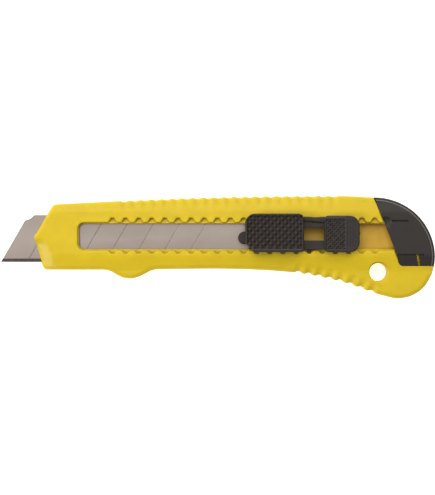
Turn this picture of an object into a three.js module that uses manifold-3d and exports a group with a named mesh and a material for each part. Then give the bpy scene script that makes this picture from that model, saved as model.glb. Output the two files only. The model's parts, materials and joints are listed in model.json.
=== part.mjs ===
// A snap-off utility knife for 18 mm blades, lying on its back with its slider up.
//
// Millimetres. +X runs from the blade's tip to the tail, +Y towards the spine of the blade,
// +Z up out of the face that carries the slider. The origin is under the middle of the knife,
// on the surface it lies on.

import * as THREE from 'three';
import { mergeVertices } from 'three/addons/utils/BufferGeometryUtils.js';
import Module from 'manifold-3d';

const wasm = await Module();
wasm.setup();

// ---------------------------------------------------------------- driving dimensions

const GAP = 0.3; // running clearance between neighbouring pieces

// Heights, from the back face up
const FACE_Z = 9.0; // front face of the handle
const FLOOR_Z = 5.0; // floor of the blade channel
const BLADE_Z = 5.3; // underside of the blade
const BLADE_THICKNESS = 0.5;
const MOUTH_ROOF_Z = BLADE_Z + BLADE_THICKNESS + GAP; // roof of the channel in the nose
const HOLDER_Z = MOUTH_ROOF_Z; // underside of the blade holder's flanges
const FLANGE_THICKNESS = 0.7;
const LIP_Z = HOLDER_Z + FLANGE_THICKNESS + GAP; // underside of the lips beside the slot
const LEDGE_Z = 7.7; // top of the lips, where the toothed skin starts
const PLATE_Z = FACE_Z + GAP; // underside of the slider's outer plate
const PLATE_THICKNESS = 1.1;
const FRONT_PAD_Z = 12.9; // top of the knurled thumb pad
const REAR_PAD_Z = 12.2;

// Crown of both broad faces: flat in the middle, sloping to the spine and to the belly
const CREASE_TOP_Y = 13.45;
const CREASE_BOTTOM_Y = -3.2;
const CROWN_DROP = 1.4; // how far the slopes fall
const SPINE_SLOPE_END_Y = 20;
const BELLY_SLOPE_END_Y = -9;
const EDGE_ROUND = 1.2;

// Nose
const NOSE_X = -70;
const NOSE_Y = 3.6;
const CHIN = { x: -66.66, y: -8.7, radius: 2 };
const BROW = { x: -62.9, y: 16.36, radius: 2.6 };
const CHIN_SLOPE = 0.45; // how steeply the nose's lower facet falls away
const BROW_SLOPE = 0.65;

// Tail
const CAP_ARC = { x: 60, y: -4, radius: 23 };
const SWELL_ARC = { x: 69.2, y: -6.3, radius: 13.35 };
const CAP_BOTTOM_Y = -7.24;
const CAP_TOP_X = 59.8; // where the cap's slanted front edge starts at the spine
const CAP_FOOT_X = 69.9; // where it meets the cap's bottom edge
const CAP_SKIN = 1.0;
const CAP_RIM = 1.8;
const RIM_ROUND = 1.0;
const TENON_INSET = CAP_SKIN + GAP;
const TENON_REACH = 2; // how far the tenon's root runs on under the cap's front edge

// Slot and ratchet
const SLOT_FRONT_X = -52.95;
const SLOT_LOW_Y = -0.8;
const SLOT_HIGH_Y = 8.97;
const NOTCH_PITCH = 5;
const NOTCH_COUNT = 21;
const FIRST_NOTCH_X = -40.3;
const NOTCH_DEPTH_HIGH = 1.75; // spine side
const NOTCH_DEPTH_LOW = 1.25; // belly side
const NOTCH_HALF_MOUTH = 1.6;
const NOTCH_HALF_FLOOR = 0.75;
const NOTCH_LEDGE = 0.4; // strip of lip that shows between slot and notches
const ENGAGED_NOTCH_X = FIRST_NOTCH_X + 15 * NOTCH_PITCH;

// Blade: the common 18 x 100 mm strip
const BLADE_WIDTH = 18;
const BLADE_LENGTH = 100;
const BLADE_TIP_X = -83;
const BLADE_EDGE_Y = -5.7;
const BLADE_SPINE_Y = BLADE_EDGE_Y + BLADE_WIDTH;
const BLADE_ANGLE = 60;
const SCORE_PITCH = 10;
const SCORE_COUNT = 7;
const BLADE_HOLE = { x: 10.3, y: 3.55, radius: 2.2 };
const CHANNEL_LOW_Y = BLADE_EDGE_Y - GAP;
const CHANNEL_HIGH_Y = BLADE_SPINE_Y + GAP;

// Slider
const PAD_FRONT_X = 10.5;
const PAD_REAR_X = 32.7;
const PAD_LOW_Y = -1.95;
const PAD_HIGH_Y = 12.7;
const REAR_PAD_END_X = 53.9;
const REAR_PAD_HIGH_Y = 11.9;
const NECK_REAR_X = 44;

// Finger grooves across the edges
const GROOVE_PITCH = 4;
const GROOVE_RADIUS = 1.7;
const SPINE_GROOVES = { firstX: -35.5, lastX: 45, depth: 0.5 };
const BELLY_GROOVES = { firstX: 31, lastX: 60, depth: 0.85 };

const LANYARD = { x: 61.5, y: -9.55, radius: 3.45 };

const YELLOW = 0xe6c82d;
const BLACK = 0x3a3632;
const STEEL = 0xa39a93;

// ---------------------------------------------------------------- solids from geometries

/** A manifold-3d solid from a closed three.js geometry. */
function solid(geometry) {
  geometry.deleteAttribute('normal');
  geometry.deleteAttribute('uv');
  const merged = mergeVertices(geometry, 1e-4);
  return new wasm.Manifold(new wasm.Mesh({
    numProp: 3,
    vertProperties: new Float32Array(merged.attributes.position.array),
    triVerts: new Uint32Array(merged.index.array),
  }));
}

/** A named mesh from a manifold-3d solid. */
function piece(name, body, colour, roughness, metalness = 0) {
  const { vertProperties, triVerts } = body.getMesh();
  const geometry = new THREE.BufferGeometry();
  geometry.setAttribute('position', new THREE.BufferAttribute(vertProperties, 3));
  geometry.setIndex(new THREE.BufferAttribute(triVerts, 1));
  geometry.computeVertexNormals();
  const material = new THREE.MeshStandardMaterial({ color: colour, roughness, metalness });
  const mesh = new THREE.Mesh(geometry, material);
  mesh.name = name;
  return mesh;
}

const all = (solids) => solids.reduce((sum, next) => sum.add(next));

/** An upright prism between two heights. */
function prism(points, low, high) {
  const shape = new THREE.Shape(points);
  const geometry = new THREE.ExtrudeGeometry(shape, { depth: high - low, bevelEnabled: false });
  geometry.translate(0, 0, low);
  return solid(geometry);
}

/** An upright prism whose top and bottom edges are rounded. */
function softPrism(points, low, high, radius, segments = 2) {
  const shape = new THREE.Shape(points);
  const geometry = new THREE.ExtrudeGeometry(shape, {
    depth: high - low - 2 * radius,
    bevelSize: radius,
    bevelThickness: radius,
    bevelOffset: -radius,
    bevelSegments: segments,
  });
  geometry.translate(0, 0, low + radius);
  return solid(geometry);
}

/** A prism along X whose section is given as [y, z] points. */
function lengthwise(section, fromX, toX) {
  const shape = new THREE.Shape(section.map(([y, z]) => at(y, z)));
  const geometry = new THREE.ExtrudeGeometry(shape, { depth: toX - fromX, bevelEnabled: false });
  const turn = new THREE.Matrix4().makeBasis(
    new THREE.Vector3(0, 1, 0),
    new THREE.Vector3(0, 0, 1),
    new THREE.Vector3(1, 0, 0),
  );
  geometry.applyMatrix4(turn);
  geometry.translate(fromX, 0, 0);
  return solid(geometry);
}

/** A cylinder along Z. */
function drum(x, y, radius, low, high, sides = 24) {
  const geometry = new THREE.CylinderGeometry(radius, radius, high - low, sides);
  geometry.rotateX(Math.PI / 2);
  geometry.translate(x, y, (low + high) / 2);
  return solid(geometry);
}

// ---------------------------------------------------------------- outlines

const at = (x, y) => new THREE.Vector2(x, y);
const degrees = THREE.MathUtils.degToRad;

/** Points along a round stretch between two angles, given in degrees. */
function arc({ x, y, radius }, from, to, steps) {
  const curve = new THREE.EllipseCurve(x, y, radius, radius, degrees(from), degrees(to));
  return curve.getPoints(steps);
}

/** A corner between two straight runs, rounded to a radius. */
function rounded(before, corner, after, radius, steps) {
  if (radius === 0) return [corner.clone()];
  const back = before.clone().sub(corner).normalize();
  const ahead = after.clone().sub(corner).normalize();
  const half = Math.acos(back.dot(ahead)) / 2;
  const inward = back.clone().add(ahead).normalize();
  const centre = corner.clone().addScaledVector(inward, radius / Math.sin(half));
  const start = corner.clone().addScaledVector(back, radius / Math.tan(half)).sub(centre);
  const end = corner.clone().addScaledVector(ahead, radius / Math.tan(half)).sub(centre);
  const sweep = Math.atan2(start.cross(end), start.dot(end));
  const points = [];
  for (let i = 0; i <= steps; i += 1) {
    points.push(start.clone().rotateAround(at(0, 0), (sweep * i) / steps).add(centre));
  }
  return points;
}

/** A closed outline from corners given as [x, y, radius]. */
function outline(corners, steps = 4) {
  const points = corners.map(([x, y]) => at(x, y));
  const count = points.length;
  return corners.flatMap(([, , radius], i) => {
    const before = points[(i + count - 1) % count];
    const after = points[(i + 1) % count];
    return rounded(before, points[i], after, radius, steps);
  });
}

/** A rectangle with its four corners rounded alike. */
function plate(lowX, highX, lowY, highY, radius = 0, steps = 4) {
  return outline([
    [lowX, lowY, radius],
    [highX, lowY, radius],
    [highX, highY, radius],
    [lowX, highY, radius],
  ], steps);
}

const spineEdge = new THREE.SplineCurve([
  at(60, 19), at(46, 19.6), at(12.4, 19.4), at(-20, 18.5), at(-60.4, 16.5),
]);

const bellyEdge = new THREE.SplineCurve([
  at(0, -8.3), at(15, -8.7), at(31, -10), at(47, -13.2), at(59, -17.3), at(66, -19.26),
]);

/** Planform of the whole knife body, cap included, counter-clockwise from the nose. */
function bodyOutline() {
  const vertex = at(NOSE_X, NOSE_Y);
  const chin = at(CHIN.x, CHIN.y);
  const bumpStart = at(-41.8, -8.7);
  const bumpTip = at(-33.8, -13.4);
  const bumpEnd = at(-24.6, -8.5);
  const brow = at(BROW.x, BROW.y);
  return [
    vertex,
    ...rounded(vertex, chin, bumpStart, CHIN.radius, 4),
    ...rounded(chin, bumpStart, bumpTip, 8, 4),
    ...rounded(bumpStart, bumpTip, bumpEnd, 9.2, 8),
    ...rounded(bumpTip, bumpEnd, bellyEdge.getPoint(0), 9, 4),
    ...bellyEdge.getPoints(16),
    ...arc(SWELL_ARC, 256, 354, 14).slice(1),
    ...arc(CAP_ARC, -5.5, 90, 20),
    ...spineEdge.getPoints(16).slice(1),
    ...rounded(spineEdge.getPoint(1), brow, vertex, BROW.radius, 3),
  ];
}

/** Planform that the end cap takes over from the handle, grown by a margin. */
function capOutline(margin) {
  const top = CAP_ARC.y + CAP_ARC.radius;
  return outline([
    [CAP_TOP_X - margin, top + margin, 0],
    [CAP_FOOT_X - margin, CAP_BOTTOM_Y - margin, 1.6 + margin],
    [CAP_ARC.x + CAP_ARC.radius + 5, CAP_BOTTOM_Y - margin, 0],
    [CAP_ARC.x + CAP_ARC.radius + 5, top + margin, 0],
  ]);
}

/** Slot with its ratchet notches in both long edges. */
function notchedSlot() {
  const endX = CAP_ARC.x + CAP_ARC.radius + 5;
  const frontX = SLOT_FRONT_X - NOTCH_LEDGE;
  const edge = (baseY, depth) => {
    const points = [];
    for (let i = 0; i < NOTCH_COUNT; i += 1) {
      const x = FIRST_NOTCH_X + i * NOTCH_PITCH;
      points.push(
        at(x - NOTCH_HALF_MOUTH, baseY),
        at(x - NOTCH_HALF_FLOOR, baseY + depth),
        at(x + NOTCH_HALF_FLOOR, baseY + depth),
        at(x + NOTCH_HALF_MOUTH, baseY),
      );
    }
    return points;
  };
  const lowY = SLOT_LOW_Y - NOTCH_LEDGE;
  const highY = SLOT_HIGH_Y + NOTCH_LEDGE;
  const low = edge(lowY, -NOTCH_DEPTH_LOW);
  const high = edge(highY, NOTCH_DEPTH_HIGH).reverse();
  return [
    ...rounded(at(frontX, highY), at(frontX, lowY), at(endX, lowY), 2.5, 4),
    ...low,
    at(endX, lowY),
    at(endX, highY),
    ...high,
    ...rounded(at(endX, highY), at(frontX, highY), at(frontX, lowY), 2.5, 4),
  ];
}

// ---------------------------------------------------------------- handle

/** The space between the two crowned faces, pulled in by an inset. */
function crown(inset = 0) {
  const high = FACE_Z - inset;
  const low = inset;
  const reach = 30;
  return lengthwise([
    [-reach, low + CROWN_DROP],
    [BELLY_SLOPE_END_Y, low + CROWN_DROP],
    [CREASE_BOTTOM_Y, low],
    [CREASE_TOP_Y, low],
    [SPINE_SLOPE_END_Y, low + CROWN_DROP],
    [reach, low + CROWN_DROP],
    [reach, high - CROWN_DROP],
    [SPINE_SLOPE_END_Y, high - CROWN_DROP],
    [CREASE_TOP_Y, high],
    [CREASE_BOTTOM_Y, high],
    [BELLY_SLOPE_END_Y, high - CROWN_DROP],
    [-reach, high - CROWN_DROP],
  ], -90, 95);
}

/** Blade channel, low in the nose and higher under the lips, open at both ends. */
function channel() {
  const mouthEndX = SLOT_FRONT_X - GAP;
  const mouth = prism(plate(-80, mouthEndX + 1, CHANNEL_LOW_Y, CHANNEL_HIGH_Y), FLOOR_Z, MOUTH_ROOF_Z);
  const run = prism(plate(mouthEndX, 90, CHANNEL_LOW_Y, CHANNEL_HIGH_Y), FLOOR_Z, LIP_Z);
  return mouth.add(run);
}

function slot() {
  const lips = prism(plate(SLOT_FRONT_X, 90, SLOT_LOW_Y, SLOT_HIGH_Y, 2.2), FLOOR_Z + 1, FACE_Z + 1);
  return lips.add(prism(notchedSlot(), LEDGE_Z, FACE_Z + 1));
}

/** What is cut from the handle so that the cap fits over the tenon that is left. */
function capSeat() {
  const seat = prism(capOutline(GAP), -1, FACE_Z + 1);
  const tenon = prism(capOutline(TENON_REACH), -2, FACE_Z + 2)
    .intersect(drum(CAP_ARC.x, CAP_ARC.y, CAP_ARC.radius - CAP_RIM - GAP, -2, FACE_Z + 2, 64))
    .intersect(crown(TENON_INSET));
  return seat.subtract(tenon);
}

/** One finger groove across the handle's edge, at a point with its outward direction. */
function gripGroove(point, outward, depth) {
  const sides = 10;
  const tilt = 25; // how steeply the groove runs out on the face, in degrees
  const sunk = 0.35; // how far the run-out's axis lies below the face
  const through = drum(0, GROOVE_RADIUS - depth, GROOVE_RADIUS, -1, FACE_Z + 1, sides);
  const faceGroove = (side) => {
    const geometry = new THREE.CylinderGeometry(GROOVE_RADIUS, GROOVE_RADIUS, 12, sides);
    geometry.rotateX(degrees(-side * tilt));
    geometry.translate(0, 0, FACE_Z / 2 + side * (FACE_Z / 2 - sunk));
    return solid(geometry);
  };
  const groove = all([through, faceGroove(1), faceGroove(-1)]);
  const turn = THREE.MathUtils.radToDeg(Math.atan2(outward.y, outward.x)) - 90;
  return groove.rotate([0, 0, turn]).translate([point.x, point.y, 0]);
}

/** The point on an edge curve above or below a given X, with the edge's outward normal. */
function edgeAt(curve, x) {
  let low = 0;
  let high = 1;
  const rising = curve.getPoint(1).x > curve.getPoint(0).x;
  for (let i = 0; i < 30; i += 1) {
    const middle = (low + high) / 2;
    if (curve.getPoint(middle).x < x === rising) low = middle;
    else high = middle;
  }
  const tangent = curve.getTangent(low);
  return { point: curve.getPoint(low), outward: at(tangent.y, -tangent.x) };
}

function gripGrooves() {
  const row = (edge, { firstX, lastX, depth }) => {
    const grooves = [];
    for (let x = firstX; x < lastX; x += GROOVE_PITCH) {
      const { point, outward } = edgeAt(edge, x);
      grooves.push(gripGroove(point, outward, depth));
    }
    return all(grooves);
  };
  return row(spineEdge, SPINE_GROOVES).add(row(bellyEdge, BELLY_GROOVES));
}

/** A cut in the face that falls away at a slope, on the right of the line from a to b. */
function facet(a, b, slope) {
  const reach = 6;
  const clear = FACE_Z + 2;
  const section = [[-reach, clear], [-reach, FACE_Z - slope * reach], [0, FACE_Z], [0, clear]];
  const along = b.clone().sub(a);
  const angle = Math.atan2(along.y, along.x);
  const cutter = lengthwise(section, -4, along.length() + 4);
  return cutter.rotate([0, 0, THREE.MathUtils.radToDeg(angle)]).translate([a.x, a.y, 0]);
}

/** Slanted facets that thin the nose beside the blade's mouth. */
function noseFacets() {
  const brow = at(BROW.x, BROW.y);
  const vertex = at(NOSE_X, NOSE_Y);
  const width = 0.9;
  const inward = brow.clone().sub(vertex).normalize().rotateAround(at(0, 0), -Math.PI / 2);
  inward.multiplyScalar(width);
  const upper = facet(brow.add(inward), vertex.add(inward), BROW_SLOPE);
  const lower = facet(at(NOSE_X + 2.7, 2.3), at(NOSE_X + 7.9, -7.5), CHIN_SLOPE);
  return lower.add(upper);
}

/** Cored pockets in the back, so that no wall of the moulding is thick. */
function backPockets() {
  const corner = 1.2;
  const pocket = (lowX, highX, lowY, highY, depth) => (
    prism(plate(lowX, highX, lowY, highY, corner, 2), -1, depth)
  );
  const channelPocket = { firstX: -46, length: 13, rib: 1.5, depth: 2.8 };
  const swellDepth = 5.5;
  const pockets = [
    pocket(44.5, 56, -11.2, -5.4, swellDepth),
    pocket(66.8, 77.5, -14.6, -9, swellDepth),
  ];
  for (let i = 0; i < 7; i += 1) {
    const x = channelPocket.firstX + i * (channelPocket.length + channelPocket.rib);
    pockets.push(pocket(x, x + channelPocket.length, 0, 10.2, channelPocket.depth));
  }
  return all(pockets);
}

/** Hole for a lanyard, with its rims eased. */
function lanyardHole() {
  const { x, y, radius } = LANYARD;
  const ease = 0.6;
  const rim = FACE_Z - CROWN_DROP;
  const profile = [
    at(0, -1),
    at(radius + ease + 1 + CROWN_DROP, -1),
    at(radius, CROWN_DROP + ease),
    at(radius, rim - ease),
    at(radius + ease + 1 + CROWN_DROP, FACE_Z + 1),
    at(0, FACE_Z + 1),
  ];
  const geometry = new THREE.LatheGeometry(profile, 32);
  geometry.rotateX(Math.PI / 2);
  const cutter = solid(geometry);
  return cutter.translate([x, y, 0]);
}

function handleBody() {
  const body = softPrism(bodyOutline(), 0, FACE_Z, EDGE_ROUND)
    .intersect(crown())
    .subtract(capSeat())
    .subtract(channel())
    .subtract(slot())
    .subtract(backPockets())
    .subtract(lanyardHole())
    .subtract(noseFacets())
    .subtract(gripGrooves());
  return piece('handle_body', body, YELLOW, 0.42);
}

// ---------------------------------------------------------------- blade

function bladeOutline() {
  const slope = 1 / Math.tan(degrees(BLADE_ANGLE));
  const front = (y) => at(BLADE_TIP_X + (y - BLADE_EDGE_Y) * slope, y);
  const tailX = BLADE_TIP_X + BLADE_LENGTH;
  const clip = 1.5; // corners cut off the tail
  const shoulder = front(BLADE_SPINE_Y - 2.1); // a snapped segment's corner is stepped
  return [
    front(BLADE_EDGE_Y),
    at(tailX - clip, BLADE_EDGE_Y),
    at(tailX, BLADE_EDGE_Y + clip),
    at(tailX, BLADE_SPINE_Y - clip),
    at(tailX - clip, BLADE_SPINE_Y),
    at(shoulder.x + 3.6, BLADE_SPINE_Y),
    at(shoulder.x + 1.9, BLADE_SPINE_Y - 1.5),
    shoulder,
  ];
}

/** The two ground bevels of the cutting edge. */
function grind() {
  const width = 1.3;
  const land = 0.05; // flat left at the very edge
  const top = BLADE_Z + BLADE_THICKNESS;
  const middle = BLADE_Z + BLADE_THICKNESS / 2;
  const upper = [[BLADE_EDGE_Y - 1, top + 1], [BLADE_EDGE_Y - 1, middle + land / 2],
    [BLADE_EDGE_Y, middle + land / 2], [BLADE_EDGE_Y + width, top], [BLADE_EDGE_Y + width, top + 1]];
  const lower = upper.map(([y, z]) => [y, 2 * middle - z]).reverse();
  const fromX = BLADE_TIP_X - 1;
  const toX = BLADE_TIP_X + BLADE_LENGTH + 1;
  return lengthwise(upper, fromX, toX).add(lengthwise(lower, fromX, toX));
}

/** The grooves that the blade snaps along. */
function scoreLines() {
  const depth = 0.16;
  const halfWidth = 0.2;
  const top = BLADE_Z + BLADE_THICKNESS;
  const section = [[-halfWidth, top + 0.1], [0, top - depth], [halfWidth, top + 0.1]];
  const groove = lengthwise(section, -2, BLADE_WIDTH / Math.sin(degrees(BLADE_ANGLE)) + 2);
  const scores = [];
  for (let i = 1; i <= SCORE_COUNT; i += 1) {
    const x = BLADE_TIP_X + i * SCORE_PITCH;
    scores.push(groove.rotate([0, 0, BLADE_ANGLE]).translate([x, BLADE_EDGE_Y, 0]));
  }
  return all(scores);
}

function blade() {
  const body = prism(bladeOutline(), BLADE_Z, BLADE_Z + BLADE_THICKNESS)
    .subtract(grind())
    .subtract(scoreLines())
    .subtract(drum(BLADE_HOLE.x, BLADE_HOLE.y, BLADE_HOLE.radius, 0, FACE_Z));
  return piece('blade', body, STEEL, 0.32, 0.9);
}

// ---------------------------------------------------------------- slider

const CLIP_PINS = [16, 28]; // X of the pins that join the pad to the holder
const CLIP_PIN_Y = 4.05;
const CLIP_PIN_RADIUS = 1.6;
const WINDOW = { lowX: 33.0, highX: 40.5, lowY: 2.5, highY: 7.5 };
const SLIT_LOW = { leftY: 9.4, rightY: 8.95 }; // lower edge of the slit above the window
const SLIT_HIGH = { leftY: 10.0, rightY: 9.35 };

/** Inner half of the slider: flanges under the lips, a neck in the slot, a peg in the blade. */
function bladeHolder() {
  const flangeTop = HOLDER_Z + FLANGE_THICKNESS;
  const nub = { x: 10.3, y: 3.55, radius: 2.4 };
  const across = (lowX, highX, inset, radius) => (
    plate(lowX, highX, CHANNEL_LOW_Y + inset, CHANNEL_HIGH_Y - inset, radius)
  );
  const flanges = prism(across(12, NECK_REAR_X, 0.6, 1.5), HOLDER_Z, flangeTop);
  const keel = prism(across(18, 31, 0.8, 1), BLADE_Z, HOLDER_Z + 0.1);
  const neckLowY = SLOT_LOW_Y + GAP;
  const neckHighY = SLOT_HIGH_Y - GAP;
  const neck = (lowX, highX) => (
    prism(plate(lowX, highX, neckLowY, neckHighY, 0.6), HOLDER_Z + 0.1, FACE_Z)
  );
  const frontNeck = neck(12, WINDOW.lowX - 0.9);
  const rearNeck = neck(WINDOW.highX + 1.1, NECK_REAR_X);
  const tongue = softPrism([
    ...arc(nub, 90, 270, 10),
    at(14, nub.y - nub.radius),
    at(14, nub.y + nub.radius),
  ], HOLDER_Z, 8.7, 0.4, 1);
  const peg = drum(nub.x, nub.y, BLADE_HOLE.radius - GAP, BLADE_Z, HOLDER_Z + 1, 20);
  const sight = prism(plate(WINDOW.lowX - 0.6, WINDOW.highX + 0.8, 1.8, 8.2, 0.8, 2), 0, FACE_Z);
  const sockets = CLIP_PINS.map((x) => drum(x, CLIP_PIN_Y, CLIP_PIN_RADIUS + GAP, 7.2, FACE_Z + 1, 16));
  const body = all([flanges, keel, frontNeck, rearNeck, tongue, peg])
    .subtract(sight)
    .subtract(all(sockets));
  return piece('blade_holder', body, BLACK, 0.5);
}

/** Crossed 45 degree V-grooves that leave a field of diamond points. */
function knurl(lowX, highX, lowY, highY, topZ, period, depth) {
  const half = period / Math.SQRT2 / 2;
  const middleX = (lowX + highX) / 2;
  const middleY = (lowY + highY) / 2;
  const reach = Math.hypot(highX - lowX, highY - lowY) / 2 + period;
  const lines = Math.floor(reach / (2 * half));
  const section = [[-half * 0.8, topZ + 0.02], [0, topZ - depth], [half * 0.8, topZ + 0.02]];
  const grooves = [];
  for (let i = -lines; i <= lines; i += 1) {
    const groove = lengthwise(section, -reach, reach).translate([0, i * 2 * half, 0]);
    grooves.push(groove.rotate([0, 0, 45]), groove.rotate([0, 0, -45]));
  }
  const field = prism(plate(lowX, highX, lowY, highY, 1.5, 2), topZ - depth - 0.1, topZ + 1);
  return all(grooves).translate([middleX, middleY, 0]).intersect(field);
}

function frontPad() {
  const pad = softPrism(outline([
    [PAD_FRONT_X, PAD_LOW_Y + 3.6, 1.2],
    [PAD_FRONT_X + 3.6, PAD_LOW_Y, 1.2],
    [PAD_REAR_X, PAD_LOW_Y, 1.3],
    [PAD_REAR_X, PAD_HIGH_Y, 2],
    [PAD_FRONT_X, PAD_HIGH_Y, 3.8],
  ]), PLATE_Z, FRONT_PAD_Z, 0.5, 1);
  const border = 0.9;
  const points = knurl(PAD_FRONT_X + border, PAD_REAR_X - border, PAD_LOW_Y + border,
    PAD_HIGH_Y - border, FRONT_PAD_Z, 2.7, 0.7);
  return pad.subtract(points);
}

function rearPad() {
  const startX = WINDOW.highX + GAP;
  const flareX = startX + 1.1;
  const pad = softPrism(outline([
    [startX, -0.9, 0],
    [flareX, PAD_LOW_Y, 0],
    [REAR_PAD_END_X, PAD_LOW_Y, 3.8],
    [REAR_PAD_END_X, REAR_PAD_HIGH_Y, 3.8],
    [flareX, REAR_PAD_HIGH_Y, 0],
    [startX, 11.2, 0],
  ]), PLATE_Z, REAR_PAD_Z, 0.4, 1);
  const grip = { pitch: 1.2, width: 0.5, depth: 0.35, length: 7 };
  const ribs = [];
  for (let x = flareX + 0.6; x < flareX + grip.length; x += grip.pitch) {
    ribs.push(prism(
      plate(x, x + grip.width, PAD_LOW_Y + 1.35, REAR_PAD_HIGH_Y - 1.3),
      REAR_PAD_Z - grip.depth,
      REAR_PAD_Z + 1,
    ));
  }
  const gateNub = drum(REAR_PAD_END_X - 0.1, 5.1, 0.5, PLATE_Z + 0.5, PLATE_Z + 1.5, 8);
  return pad.subtract(all(ribs)).add(gateNub);
}

/** Outer half of the slider: knurled pad, bridge with its window, and rear pad. */
function thumbSlider() {
  const plateTop = PLATE_Z + PLATE_THICKNESS;
  const { lowX, highX, lowY, highY } = WINDOW;
  const lowRail = prism(plate(PAD_REAR_X - 1, highX + 1, -0.9, lowY), PLATE_Z, plateTop);
  const highRail = prism([
    at(PAD_REAR_X - 1, highY),
    at(highX + 1, highY),
    at(highX + 1, SLIT_LOW.rightY),
    at(PAD_REAR_X - 1, SLIT_LOW.leftY),
  ], PLATE_Z, plateTop);
  const pins = CLIP_PINS.map((x) => drum(x, CLIP_PIN_Y, CLIP_PIN_RADIUS, 7.6, PLATE_Z + 0.5, 16));
  const body = all([frontPad(), rearPad(), lowRail, highRail, ...pins])
    .subtract(prism(plate(lowX, highX, lowY, highY, 0.3, 1), 0, plateTop));
  return piece('thumb_slider', body, BLACK, 0.5);
}

/** A ratchet tooth that points outward, from its root line to its tip. */
function tooth(rootY, tipY, rootHalf, tipHalf, low, high) {
  return prism([
    at(ENGAGED_NOTCH_X - rootHalf, rootY),
    at(ENGAGED_NOTCH_X + rootHalf, rootY),
    at(ENGAGED_NOTCH_X + tipHalf, tipY),
    at(ENGAGED_NOTCH_X - tipHalf, tipY),
  ], low, high);
}

/** Spring arm above the slit; its free end clicks into the notches on the spine side. */
function ratchetSpringArm() {
  const arm = prism([
    at(WINDOW.lowX, SLIT_HIGH.leftY),
    at(WINDOW.highX, SLIT_HIGH.rightY),
    at(WINDOW.highX, 11.5),
    at(WINDOW.lowX + 4.2, 11.35),
    at(WINDOW.lowX, 11.6),
  ], PLATE_Z, PLATE_Z + PLATE_THICKNESS);
  const click = tooth(SLIT_HIGH.leftY - 0.1, 10.5, 0.8, 0.55, LEDGE_Z + GAP, PLATE_Z + 0.1);
  return piece('ratchet_spring_arm', arm.add(click), BLACK, 0.5);
}

/** Leaf under the lower rail; its tooth clicks into the notches on the belly side. */
function ratchetPawlLeaf() {
  const lowY = SLOT_LOW_Y + 0.35;
  const rootX = WINDOW.highX + 0.7;
  const tipX = ENGAGED_NOTCH_X - 0.9;
  const leaf = prism([
    at(tipX, lowY), at(rootX, lowY), at(rootX, lowY + 1.4), at(tipX, lowY + 1),
  ], LEDGE_Z + GAP, FACE_Z);
  const click = tooth(lowY + 0.05, -2, 0.9, 0.55, LEDGE_Z + GAP, FACE_Z);
  return piece('ratchet_pawl_leaf', leaf.add(click), BLACK, 0.5);
}

// ---------------------------------------------------------------- end cap

/** A disc about the cap's arc with its outer edges rounded. */
function rimmedDisc() {
  const { x, y, radius } = CAP_ARC;
  const inner = radius - RIM_ROUND;
  const profile = [
    at(0, 0),
    ...arc({ x: inner, y: RIM_ROUND, radius: RIM_ROUND }, -90, 0, 4),
    ...arc({ x: inner, y: FACE_Z - RIM_ROUND, radius: RIM_ROUND }, 0, 90, 4),
    at(0, FACE_Z),
  ];
  const geometry = new THREE.LatheGeometry(profile, 96);
  geometry.rotateX(Math.PI / 2);
  return solid(geometry).translate([x, y, 0]);
}

/** Slanted slot that a blade segment is held in to snap it off. */
function snapperSlit() {
  const top = { x: 75.75, y: -2.9 };
  const bottom = { x: 76.8, y: -8 };
  const width = 0.9;
  return prism([
    at(top.x, top.y), at(bottom.x, bottom.y), at(bottom.x + width, bottom.y), at(top.x + width, top.y),
  ], FACE_Z - CAP_SKIN - 2.5, FACE_Z + 1);
}

/** Lines and thumbnail scoop in the cap's front. */
function capMarks() {
  const depth = 0.6;
  const line = (lowX, highX, lowY, highY) => (
    prism(plate(lowX, highX, lowY, highY), FACE_Z - depth, FACE_Z + 1)
  );
  const scoop = drum(64.2, 9.2, 2.5, FACE_Z - depth, FACE_Z + 1, 24);
  return all([line(66.5, 72.8, 9.65, 10.35), line(68.8, 78.6, -3.25, -2.6), scoop]);
}

function endCap() {
  const cavity = drum(CAP_ARC.x, CAP_ARC.y, CAP_ARC.radius - CAP_RIM, -2, FACE_Z + 2, 64)
    .intersect(crown(CAP_SKIN));
  const body = prism(capOutline(0), -1, FACE_Z + 1)
    .intersect(rimmedDisc())
    .intersect(crown())
    .subtract(cavity)
    .subtract(snapperSlit())
    .subtract(capMarks());
  return piece('end_cap', body, BLACK, 0.45);
}

// ---------------------------------------------------------------- assembly

const knife = new THREE.Group();
const slider = new THREE.Group();
slider.add(blade(), bladeHolder(), thumbSlider(), ratchetSpringArm(), ratchetPawlLeaf());
knife.add(handleBody(), slider, endCap());

export default knife;
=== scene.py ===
"""Looks for a snap-off utility knife: its mouldings, its blade, their finishes and a plain studio.

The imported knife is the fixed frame. Lengths inside the functions are millimetres in the knife's own
frame: +X from the blade's tip to the tail, +Y towards the blade's spine, +Z out of the slider's face.
They become metres when a mesh is made.
"""

import json
import math

import bmesh
import bpy
import numpy as np
from bpy.props import FloatProperty, IntProperty, PointerProperty, StringProperty
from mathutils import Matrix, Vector
from mathutils.geometry import delaunay_2d_cdt


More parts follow.
